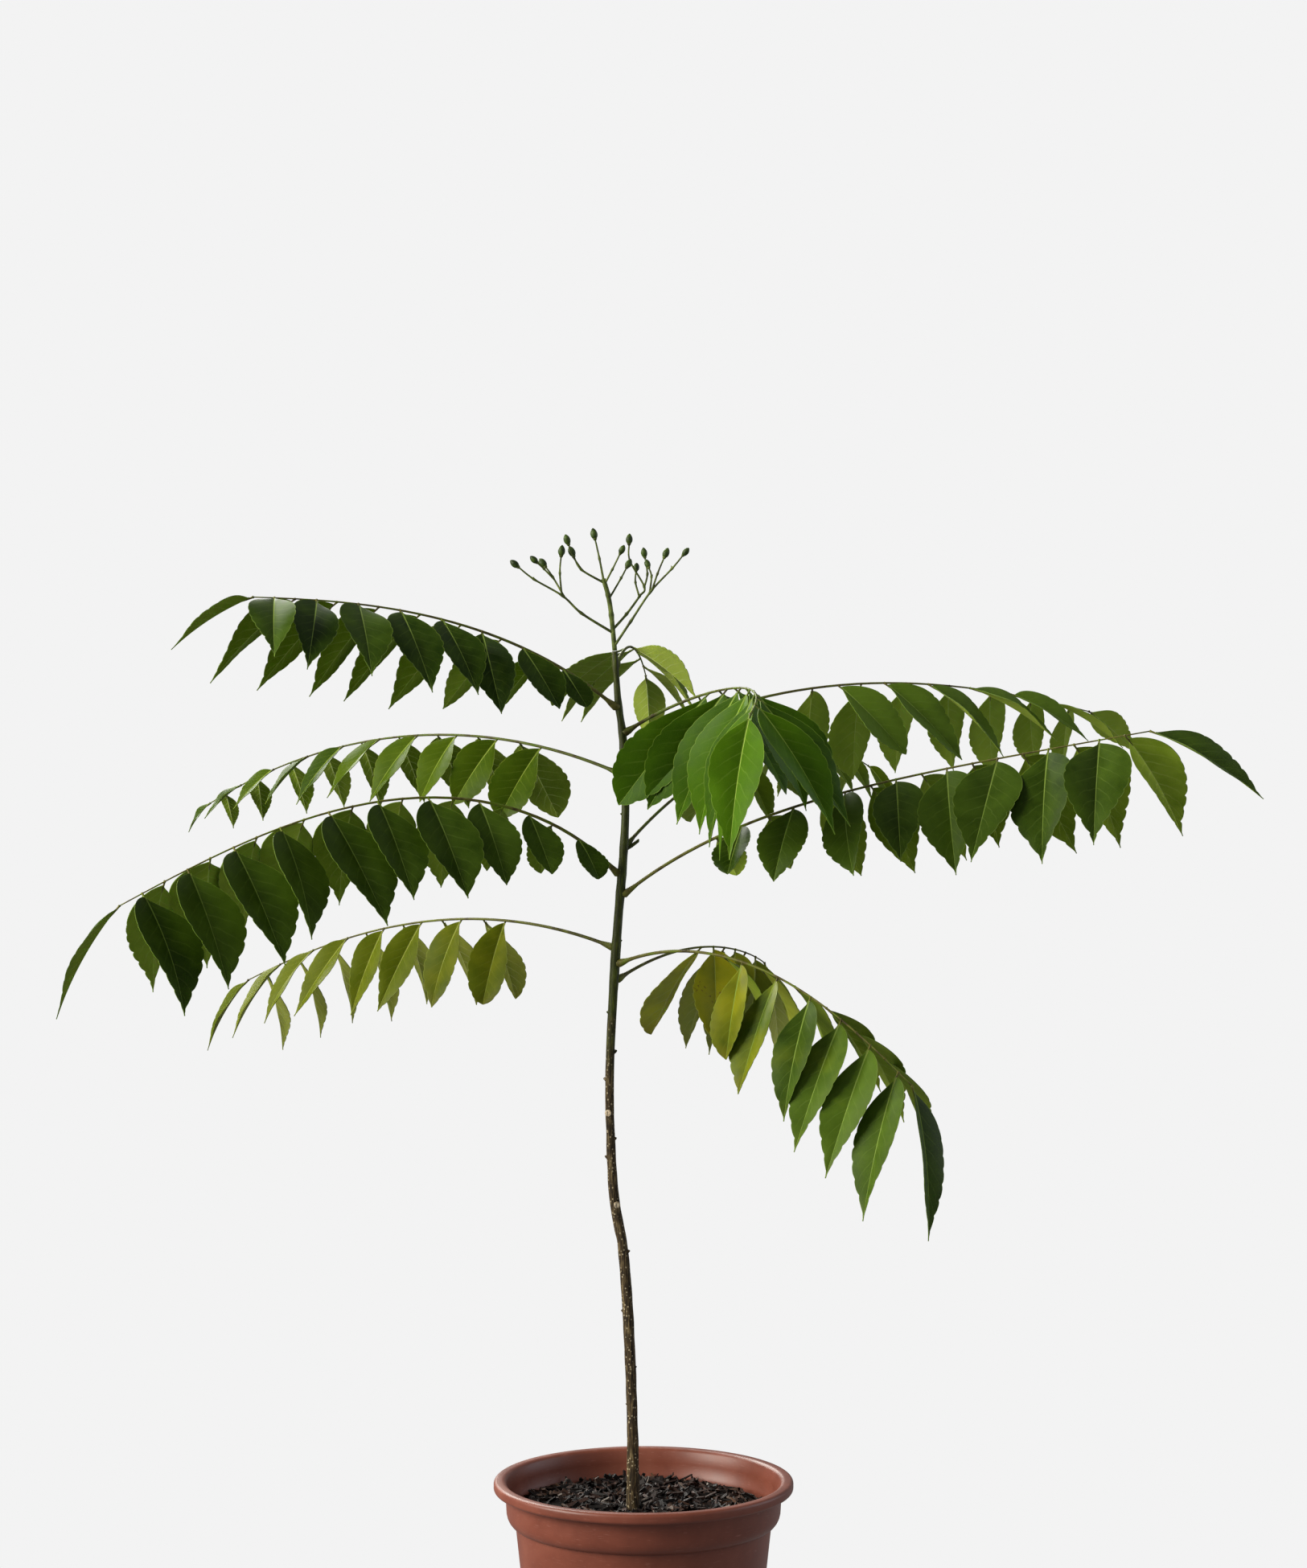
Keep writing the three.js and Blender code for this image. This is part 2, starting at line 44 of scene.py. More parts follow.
scene = bpy.context.scene
print("the part is loaded")


# Helpers: colour, nodes, tubes and finished pieces

def linear(code):
    # an sRGB hex colour as linear light
    parts = [int(code[i:i + 2], 16) / 255 for i in (1, 3, 5)]
    return [p / 12.92 if p <= 0.04045 else ((p + 0.055) / 1.055) ** 2.4 for p in parts] + [1]


def addNode(tree, kind, inputs=None, stops=None, **settings):
    # inputs are keyed by name or number, and each is a value or another node's output
    node = tree.nodes.new("ShaderNode" + kind)
    for name, value in settings.items():
        setattr(node, name, value)
    for place, (position, colour) in enumerate(stops or []):
        spots = node.color_ramp.elements
        spot = spots[place] if place < 2 else spots.new(position)
        spot.position = position
        spot.color = colour
    for name, value in (inputs or {}).items():
        if isinstance(value, bpy.types.NodeSocket):
            tree.links.new(value, node.inputs[name])
        else:
            node.inputs[name].default_value = value
    return node


def newMaterial(name, **sockets):
    # a material with one shader, whose constant sockets are set straight on it
    material = bpy.data.materials.new(name)
    material.use_nodes = True
    tree = material.node_tree
    tree.nodes.clear()
    shader = addNode(tree, "BsdfPrincipled")
    for socket, value in sockets.items():
        shader.inputs[socket.replace("_", " ")].default_value = value
    addNode(tree, "OutputMaterial", {"Surface": shader.outputs[0]})
    return material, tree, shader


def sectionAt(point, way, across, radius):
    # a frame whose Z runs along the tube and whose X and Y are one radius long
    across = (across - way * across.dot(way)).normalized()
    other = way.cross(across)
    turned = Matrix((across, other, way)).transposed().to_4x4()
    return Matrix.Translation(point) @ turned @ Matrix.Diagonal((radius, radius, 1, 1)), across


def growTube(bm, points, radii, sides, material):
    # a closed round tube along points: a ring is extruded and carried from stop to stop
    count = len(points)
    ways = [(points[min(i + 1, count - 1)] - points[max(i - 1, 0)]).normalized()
            for i in range(count)]
    across = Vector((0.31, 0.95, 0)) if abs(ways[0].z) > 0.6 else Vector((0.1, 0.1, 1))
    ring = bmesh.ops.create_circle(bm, cap_ends=True, radius=1, segments=sides)["verts"]
    place, across = sectionAt(points[0], ways[0], across, radii[0])
    bmesh.ops.transform(bm, matrix=place, verts=ring)
    edges = list({edge for vert in ring for edge in vert.link_edges})
    faces = list({face for vert in ring for face in vert.link_faces})
    for i in range(1, count):
        before = place
        grown = bmesh.ops.extrude_edge_only(bm, edges=edges)["geom"]
        ring = [part for part in grown if isinstance(part, bmesh.types.BMVert)]
        faces += [part for part in grown if isinstance(part, bmesh.types.BMFace)]
        edges = [part for part in grown if isinstance(part, bmesh.types.BMEdge)
                 and all(vert in ring for vert in part.verts)]
        place, across = sectionAt(points[i], ways[i], across, radii[i])
        bmesh.ops.transform(bm, matrix=place @ before.inverted(), verts=ring)
    faces += bmesh.ops.edgeloop_fill(bm, edges=edges)["faces"]
    for face in faces:
        face.material_index = material
        face.smooth = True
    return faces


def smoothRoute(points, steps):
    # a rounded route through points, as a Catmull-Rom curve
    route = []
    last = len(points) - 1
    for i in range(last):
        a, b = points[max(i - 1, 0)], points[i]
        c, d = points[i + 1], points[min(i + 2, last)]
        for k in range(steps):
            t = k / steps
            route.append(0.5 * (2 * b + (c - a) * t + (2 * a - 5 * b + 4 * c - d) * t ** 2
                                + (3 * b - a - 3 * c + d) * t ** 3))
    return route + [points[-1]]


def makePiece(name, bm, materials, slot, *nodes):
    bmesh.ops.recalc_face_normals(bm, faces=bm.faces)
    bmesh.ops.scale(bm, vec=(mm, mm, mm), verts=bm.verts)
    mesh = bpy.data.meshes.new(name)
    bm.to_mesh(mesh)
    bm.free()
    for material in materials:
        mesh.materials.append(material)
    piece = bpy.data.objects.new(name, mesh)
    scene.collection.objects.link(piece)
    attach(piece, "root")
    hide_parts(*nodes)
    print(name, len(mesh.polygons), "faces")
    return piece


# Camera, level with the middle of the plant
camera = {"place": (0.0043, -1.3, 0.4165), "lens": 68.86, "sensor": 36}
cameraData = bpy.data.cameras.new("camera")
cameraData.lens = camera["lens"]
cameraData.sensor_width = camera["sensor"]
cameraData.clip_end = 40
cameraObject = bpy.data.objects.new("camera", cameraData)
cameraObject.location = camera["place"]
cameraObject.rotation_euler = (math.radians(90), 0, 0)
scene.collection.objects.link(cameraObject)
scene.camera = cameraObject


# Nursery pot: one lathe turned wall with a rolled lip, and six drain holes in its floor
pot = {
    "lipRadius": 65, "lipRound": 1.5, "height": 115.5, "lipDepth": 4.6, "collarRadius": 60,
    "collarBottom": 103, "shoulderRadius": 55.5, "shoulderHeight": 96.5, "footRadius": 45,
    "footRound": 1.5, "wall": 1.5, "floor": 2.5, "steps": 160, "warp": 0.14,
    "drainHoles": 6, "drainRadius": 4, "drainCircle": 31,
    "plastic": "#703b2c", "dusty": "#7c4737", "deep": "#613225",
}


def rounded(centreR, centreZ, radius, start, end, steps):
    # stops of an arc in the profile, in degrees from outwards towards up
    angles = [math.radians(start + (end - start) * k / steps) for k in range(steps + 1)]
    return [(centreR + radius * math.cos(a), centreZ + radius * math.sin(a)) for a in angles]


def potProfile():
    foot, wall, lip = pot["footRadius"], pot["wall"], pot["lipRound"]
    lipBottom = pot["height"] - pot["lipDepth"]
    collar, shoulder = pot["collarRadius"], pot["shoulderRadius"]
    rise = pot["collarBottom"] - pot["shoulderHeight"]
    curve = []
    for k in range(7):
        angle = math.radians(15 * k)
        curve.append((shoulder + (collar - 0.5 - shoulder) * math.sin(angle),
                      pot["collarBottom"] - rise * math.cos(angle)))
    inside = [(r - wall, z + wall * 0.6) for r, z in reversed(curve)]
    slope = (shoulder - foot) / pot["shoulderHeight"]
    return [
        (0, 0), (foot * 0.5, 0),
        *rounded(foot - pot["footRound"], pot["footRound"], pot["footRound"], -90, -5, 4),
        *curve,
        (collar - 0.45, pot["collarBottom"] + 1),
        (collar - 0.2, lipBottom - 3), (collar, lipBottom - 0.6), (collar + 0.7, lipBottom),
        *rounded(pot["lipRadius"] - lip, lipBottom + lip, lip, -90, 0, 5),
        *rounded(pot["lipRadius"] - lip, pot["height"] - lip, lip, 0, 90, 6),
        *rounded(pot["lipRadius"] - 3.4, pot["height"] - 2.4, 2.4, 90, 155, 5),
        (collar - wall + 0.3, pot["height"] - 4.6), (collar - wall, pot["height"] - 6.5),
        (collar - wall, pot["collarBottom"] + 1.6),
        *inside,
        (foot + slope * (pot["floor"] + 4) - wall, pot["floor"] + 4),
        (foot + slope * pot["floor"] - wall - 1.5, pot["floor"]), (foot * 0.5, pot["floor"]),
        (0, pot["floor"]),
    ]


def makePot():
    bm = bmesh.new()
    stops = [bm.verts.new((r, 0, z)) for r, z in potProfile()]
    edges = [bm.edges.new(pair) for pair in zip(stops, stops[1:])]
    bmesh.ops.spin(bm, geom=stops + edges, cent=(0, 0, 0), axis=(0, 0, 1),
                   angle=2 * math.pi, steps=pot["steps"], use_merge=True)
    bmesh.ops.remove_doubles(bm, verts=bm.verts, dist=0.01)
    for vert in bm.verts:  # moulded plastic is never quite true
        reach = Vector((vert.co.x, vert.co.y, 0))
        share = pot["warp"] * (noise.noise(vert.co / 34) - 0.5) * min(vert.co.z / 40, 1)
        if reach.length > 1:
            vert.co += reach.normalized() * share
    drills = bmesh.new()
    for k in range(pot["drainHoles"]):
        angle = 2 * math.pi * k / pot["drainHoles"]
        spot = Vector((math.cos(angle), math.sin(angle), 0)) * pot["drainCircle"]
        bmesh.ops.create_cone(drills, cap_ends=True, segments=32, radius1=pot["drainRadius"],
                              radius2=pot["drainRadius"], depth=12,
                              matrix=Matrix.Translation(spot))
    drillMesh = bpy.data.meshes.new("drills")
    bmesh.ops.scale(drills, vec=(mm, mm, mm), verts=drills.verts)
    drills.to_mesh(drillMesh)
    drills.free()
    drillObject = bpy.data.objects.new("drills", drillMesh)
    scene.collection.objects.link(drillObject)
    for face in bm.faces:
        face.smooth = True
    piece = makePiece("nurseryPot", bm, [potPlastic()], "pot_plastic", "pot")
    cut = piece.modifiers.new("drainHoles", "BOOLEAN")
    cut.operation = "DIFFERENCE"
    cut.object = drillObject
    bpy.context.view_layer.update()
    graph = bpy.context.evaluated_depsgraph_get()
    drilled = bpy.data.meshes.new_from_object(piece.evaluated_get(graph))
    piece.modifiers.clear()
    piece.data = drilled
    drilled.set_sharp_from_angle(angle=math.radians(50))
    bpy.data.objects.remove(drillObject)


def potPlastic():
    # injection moulded polypropylene: satin, a little dusty, with a faint grain and scuffs
    material, tree, shader = newMaterial("mouldedPolypropylene", IOR=1.49,
                                         Specular_IOR_Level=0.35)
    spot = addNode(tree, "TexCoord").outputs["Object"]
    cloud = addNode(tree, "TexNoise", {"Vector": spot, "Scale": 28, "Detail": 5,
                                       "Roughness": 0.6})
    colour = addNode(tree, "ValToRGB", {0: cloud.outputs[0]}, stops=[
        (0.3, linear(pot["deep"])), (0.72, linear(pot["dusty"])), (0.5, linear(pot["plastic"]))])
    # scuffs about 0.4 mm wide and 8 mm long, running round the pot
    stretch = addNode(tree, "Mapping", {"Vector": spot, "Scale": (1, 1, 9)})
    scuff = addNode(tree, "TexNoise", {"Vector": stretch.outputs[0], "Scale": 240, "Detail": 3})
    scuffed = addNode(tree, "MapRange", {0: scuff.outputs[0], 1: 0.62, 2: 0.8, 3: 0, 4: 0.35})
    worn = addNode(tree, "Mix", {0: scuffed.outputs[0], 6: colour.outputs[0],
                                 7: linear("#a7766a")}, data_type="RGBA")
    tree.links.new(worn.outputs[2], shader.inputs["Base Color"])
    dull = addNode(tree, "MapRange", {0: cloud.outputs[0], 1: 0.3, 2: 0.7, 3: 0.34, 4: 0.5})
    tree.links.new(dull.outputs[0], shader.inputs["Roughness"])
    grain = addNode(tree, "TexNoise", {"Vector": spot, "Scale": 1400, "Detail": 2})
    relief = addNode(tree, "Bump", {"Height": grain.outputs[0], "Strength": 0.08,
                                    "Distance": 0.1 * mm})
    tree.links.new(relief.outputs[0], shader.inputs["Normal"])
    return material


makePot()


# Soil: a dark bed that fills the pot, strewn with slivers of husk and bark
soil = {
    "level": 100.6, "relief": 3.2, "reach": 57.3, "rings": 26, "steps": 110, "seed": 21,
    "slivers": 1900, "sliverLength": (4.5, 10.5), "sliverWidth": (1, 2.1),
    "sliverDepth": (0.45, 1), "pile": 3.2, "tilt": 40,
    "tones": ["#0a0605", "#120b09", "#1c110d", "#281812", "#332019", "#3a2a24", "#4c3425",
              "#77736e"],
}


def soilHeight(x, y):
    spot = Vector((x, y, 0))
    heap = noise.noise(spot / 26) * 0.6 + noise.noise(spot / 9) * 0.4
    towardsBack = 1.6 * max(-x * 0.6 + y, 0) / soil["reach"]
    return soil["level"] + soil["relief"] * heap * 0.5 + towardsBack


def soilMaterial():
    # dry charred husk and bark: matt, each sliver of its own brown, black or grey
    material, tree, shader = newMaterial("charredHusk", Roughness=0.6, IOR=1.45,
                                         Specular_IOR_Level=0.25)
    spot = addNode(tree, "TexCoord").outputs["Object"]
    tone = addNode(tree, "Attribute", attribute_name="sliverTone")
    picked = addNode(tree, "ValToRGB", {0: tone.outputs["Fac"]}, stops=[
        (k / (len(soil["tones"]) - 1), linear(code)) for k, code in enumerate(soil["tones"])])
    fibre = addNode(tree, "TexNoise", {"Vector": spot, "Scale": 900, "Detail": 4})
    shade = addNode(tree, "MapRange", {0: fibre.outputs[0], 1: 0.3, 2: 0.7, 3: 0.55, 4: 1.25})
    mottled = addNode(tree, "Mix", {0: 1, 6: picked.outputs[0], 7: shade.outputs[0]},
                      data_type="RGBA", blend_type="MULTIPLY")
    tree.links.new(mottled.outputs[2], shader.inputs["Base Color"])
    relief = addNode(tree, "Bump", {"Height": fibre.outputs[0], "Strength": 0.35,
                                    "Distance": 0.3 * mm})
    tree.links.new(relief.outputs[0], shader.inputs["Normal"])
    return material


def makeSoil():
    draw = random.Random(soil["seed"])
    bm = bmesh.new()
    toneLayer = bm.verts.layers.float.new("sliverTone")
    inner = pot["wall"] + 0.3
    profile = [(0, pot["floor"] + 0.3), (pot["footRadius"] - inner, pot["floor"] + 0.3),
               (pot["shoulderRadius"] - inner - 0.4, pot["shoulderHeight"]),
               (soil["reach"] - 0.7, soil["level"] - 1)]
    profile += [(soil["reach"] * (1 - k / soil["rings"]), soil["level"])
                for k in range(soil["rings"] + 1)]
    stops = [bm.verts.new((r, 0, z)) for r, z in profile]
    edges = [bm.edges.new(pair) for pair in zip(stops, stops[1:])]
    bmesh.ops.spin(bm, geom=stops + edges, cent=(0, 0, 0), axis=(0, 0, 1),
                   angle=2 * math.pi, steps=soil["steps"], use_merge=True)
    bmesh.ops.remove_doubles(bm, verts=bm.verts, dist=0.01)
    for vert in bm.verts:
        vert[toneLayer] = 0.12
        if vert.co.z > soil["level"] - 0.1:
            vert.co.z = soilHeight(vert.co.x, vert.co.y) + draw.uniform(-0.5, 0.5)
    for face in bm.faces:
        face.smooth = True
    for _ in range(soil["slivers"]):
        away = (soil["reach"] - 3) * math.sqrt(draw.random())
        heading = draw.uniform(0, 2 * math.pi)
        x, y = away * math.cos(heading), away * math.sin(heading)
        size = (draw.uniform(*soil["sliverLength"]), draw.uniform(*soil["sliverWidth"]),
                draw.uniform(*soil["sliverDepth"]))
        turn = Matrix.Rotation(draw.uniform(0, math.pi), 4, "Z")
        tip = Matrix.Rotation(math.radians(draw.gauss(0, soil["tilt"] / 2)), 4, "Y")
        roll = Matrix.Rotation(draw.uniform(0, math.pi), 4, "X")
        lift = soilHeight(x, y) + draw.uniform(0, soil["pile"]) * (1 - 0.4 * away / soil["reach"])
        place = Matrix.Translation((x, y, lift)) @ turn @ tip @ roll
        verts = bmesh.ops.create_cube(bm, size=1)["verts"]
        narrow = draw.uniform(0.25, 0.9)
        bow = draw.uniform(-0.12, 0.12) * size[0]
        tone = draw.random() ** 2
        for vert in verts:
            taper = narrow if vert.co.x > 0 else 1
            vert.co = Vector((vert.co.x * size[0], vert.co.y * size[1] * taper + bow * taper,
                              vert.co.z * size[2]))
            vert[toneLayer] = tone
        bmesh.ops.transform(bm, matrix=place, verts=verts)
        reach = max(math.hypot(vert.co.x, vert.co.y) for vert in verts)
        if reach > soil["reach"] + 0.1:  # kept off the wall
            pull = Vector((x, y, 0)).normalized() * (soil["reach"] + 0.1 - reach)
            bmesh.ops.translate(bm, vec=pull, verts=verts)
    makePiece("huskSoil", bm, [soilMaterial()], "bark_soil", "soil")


makeSoil()


# Stem: rows of height, x, y and radius, from under the soil to the flower head
stem = {
    "line": [(80, -4.6, 0, 2.9), (101.5, -4.6, 0, 2.9), (137, -4.8, 0.4, 2.45),
             (172, -6, 1, 2.35), (199, -7.6, 1.6, 2.4), (216, -9.1, 1.9, 2.2),
             (234, -12.3, 2, 2.2), (251, -13.8, 1.6, 2), (277, -14.7, 0.6, 1.95),
             (303, -14.3, -0.6, 1.9), (347, -11.8, -1.8, 1.95), (399, -8, -1.2, 1.75),
             (434, -8.8, -0.4, 1.65), (452, -11, 0, 1.45), (474, -12.5, 0.3, 1.3)],
    "steps": 14, "sides": 20, "barkRelief": 0.13, "greenFrom": 290, "greenTo": 322,
    # old leaf scars and sleeping buds: height, heading, size
    "scars": [(234, -70, 1.5), (274, -110, 1.5)],
    "knots": [(113, 30, 0.7), (147, 200, 0.6), (163, -20, 0.7), (187, 160, 0.8), (213, -15, 0.9),
              (221, 150, 0.7), (254, 172, 1), (262, 15, 0.8), (288, 190, 1), (300, 5, 1),
              (317, 175, 0.8), (348, 8, 0.7), (403, 165, 0.6)],
    "twig": {"height": 388, "heading": 20, "length": 6.5},
}


def stemAt(height):
    rows = stem["line"]
    i = 0
    while i < len(rows) - 2 and rows[i + 1][0] < height:
        i += 1
    low, high = rows[i], rows[i + 1]
    share = (height - low[0]) / (high[0] - low[0])
    x, y, radius = (low[k] + (high[k] - low[k]) * share for k in (1, 2, 3))
    return Vector((x, y, height)), radius


def stemBark():
    # thin living bark: grey brown with pale pores below, smooth green skin above
    material, tree, shader = newMaterial("livingBark", IOR=1.45, Specular_IOR_Level=0.3)
    spot = addNode(tree, "TexCoord").outputs["Object"]
    height = addNode(tree, "SeparateXYZ", {0: spot}).outputs[2]
    wander = addNode(tree, "TexNoise", {"Vector": spot, "Scale": 60, "Detail": 3})
    shift = addNode(tree, "MapRange", {0: wander.outputs[0], 1: 0.3, 2: 0.7, 3: -0.02, 4: 0.02})
    level = addNode(tree, "Math", {0: height, 1: shift.outputs[0]}, operation="ADD")
    green = addNode(tree, "MapRange", {0: level.outputs[0], 1: stem["greenFrom"] * mm,
                                       2: stem["greenTo"] * mm, 3: 0, 4: 1})
    # cracks run up the stem, about 0.5 mm apart and 5 mm long
    stretch = addNode(tree, "Mapping", {"Vector": spot, "Scale": (1, 1, 0.12)})
    fibre = addNode(tree, "TexNoise", {"Vector": stretch.outputs[0], "Scale": 1500, "Detail": 4,
                                       "Roughness": 0.65})
    woody = addNode(tree, "ValToRGB", {0: fibre.outputs[0]}, stops=[
        (0.36, linear("#130d06")), (0.7, linear("#776848")), (0.52, linear("#3b2f1c"))])
    skin = addNode(tree, "ValToRGB", {0: fibre.outputs[0]}, stops=[
        (0.3, linear("#191d04")), (0.75, linear("#525e14")), (0.52, linear("#333a0a"))])
    # pale pores, 0.4 mm across and 1.5 mm apart
    pores = addNode(tree, "TexVoronoi", {"Vector": spot, "Scale": 620, "Randomness": 1})
    pale = addNode(tree, "MapRange", {0: pores.outputs["Distance"], 1: 0.16, 2: 0.28, 3: 0.75,
                                      4: 0})
    specked = addNode(tree, "Mix", {0: pale.outputs[0], 6: woody.outputs[0],
                                    7: linear("#a89c80")}, data_type="RGBA")
    both = addNode(tree, "Mix", {0: green.outputs[0], 6: specked.outputs[2],
                                 7: skin.outputs[0]}, data_type="RGBA")
    tree.links.new(both.outputs[2], shader.inputs["Base Color"])
    dull = addNode(tree, "MapRange", {0: green.outputs[0], 1: 0, 2: 1, 3: 0.85, 4: 0.5})
    tree.links.new(dull.outputs[0], shader.inputs["Roughness"])
    relief = addNode(tree, "Bump", {"Height": fibre.outputs[0], "Strength": 0.6,
                                    "Distance": 0.25 * mm})
    tree.links.new(relief.outputs[0], shader.inputs["Normal"])
    return material


def scarCork():
    # dry cork where a leaf dropped: pale and matt
    material, tree, shader = newMaterial("scarCork", Roughness=0.9)
    spot = addNode(tree, "TexCoord").outputs["Object"]
    crumb = addNode(tree, "TexNoise", {"Vector": spot, "Scale": 1600, "Detail": 3})
    colour = addNode(tree, "ValToRGB", {0: crumb.outputs[0]}, stops=[
        (0.35, linear("#8d7a5e")), (0.65, linear("#c9bda4"))])
    tree.links.new(colour.outputs[0], shader.inputs["Base Color"])
    return material


def makeStem():
    bm = bmesh.new()
    rows = [Vector((x, y, z, r)) for z, x, y, r in stem["line"]]
    stemTop = stem["line"][-1][0]
    route = smoothRoute(rows, stem["steps"])
    points = [Vector(stop[:3]) for stop in route]
    radii = [stop[3] for stop in route]
    joints = [frond["height"] for frond in fronds.values()]
    for i, point in enumerate(points):  # each joint of the stem is a little thicker
        swelling = sum(math.exp(-((point.z - joint) / 3.2) ** 2) for joint in joints)
        radii[i] += 0.22 * min(swelling, 1.4)
    growTube(bm, points, radii, stem["sides"], 0)
    for vert in bm.verts:
        centre, radius = stemAt(min(vert.co.z, stemTop))
        away = Vector((vert.co.x - centre.x, vert.co.y - centre.y, 0))
        rough = 1 if vert.co.z < stem["greenFrom"] else 0.35
        ridge = noise.noise(Vector((vert.co.x / 1.4, vert.co.y / 1.4, vert.co.z / 9)))
        if away.length > 0.5:
            vert.co += away.normalized() * ridge * stem["barkRelief"] * rough * 2
    for height, heading, size in stem["scars"]:
        centre, radius = stemAt(height)
        way = Vector((math.cos(math.radians(heading)), math.sin(math.radians(heading)), 0))
        foot = centre + way * (radius - 0.6)
        stops = [foot, foot + way * 0.9, foot + way * 1.1, foot + way * 0.95]
        faces = growTube(bm, stops, [size * 1.1, size, size * 0.8, size * 0.55], 14, 0)
        for face in faces:
            if face.calc_center_median().dot(way) > (foot + way * 0.95).dot(way):
                face.material_index = 1
    for height, heading, size in stem["knots"]:
        centre, radius = stemAt(height)
        way = Vector((math.cos(math.radians(heading)), math.sin(math.radians(heading)), 0.35))
        foot = centre + way * (radius - 0.5)
        stops = [foot, foot + way * 0.7 * size, foot + way * 1.2 * size, foot + way * 1.5 * size]
        growTube(bm, stops, [size * 1.1, size * 0.8, size * 0.5, size * 0.15], 8, 0)
    twig = stem["twig"]
    centre, radius = stemAt(twig["height"])
    heading = math.radians(twig["heading"])
    way = Vector((math.cos(heading), math.sin(heading), 0.45)).normalized()
    foot = centre + way * (radius - 0.8)
    reach = twig["length"]
    growTube(bm, [foot, foot + way * reach * 0.5, foot + way * reach + up * 0.8,
                  foot + way * reach * 1.05 + up * 1.4], [1.1, 0.8, 0.75, 0.3], 8, 0)
    makePiece("woodyStem", bm, [stemBark(), scarCork()], "stem_bark", "stem")
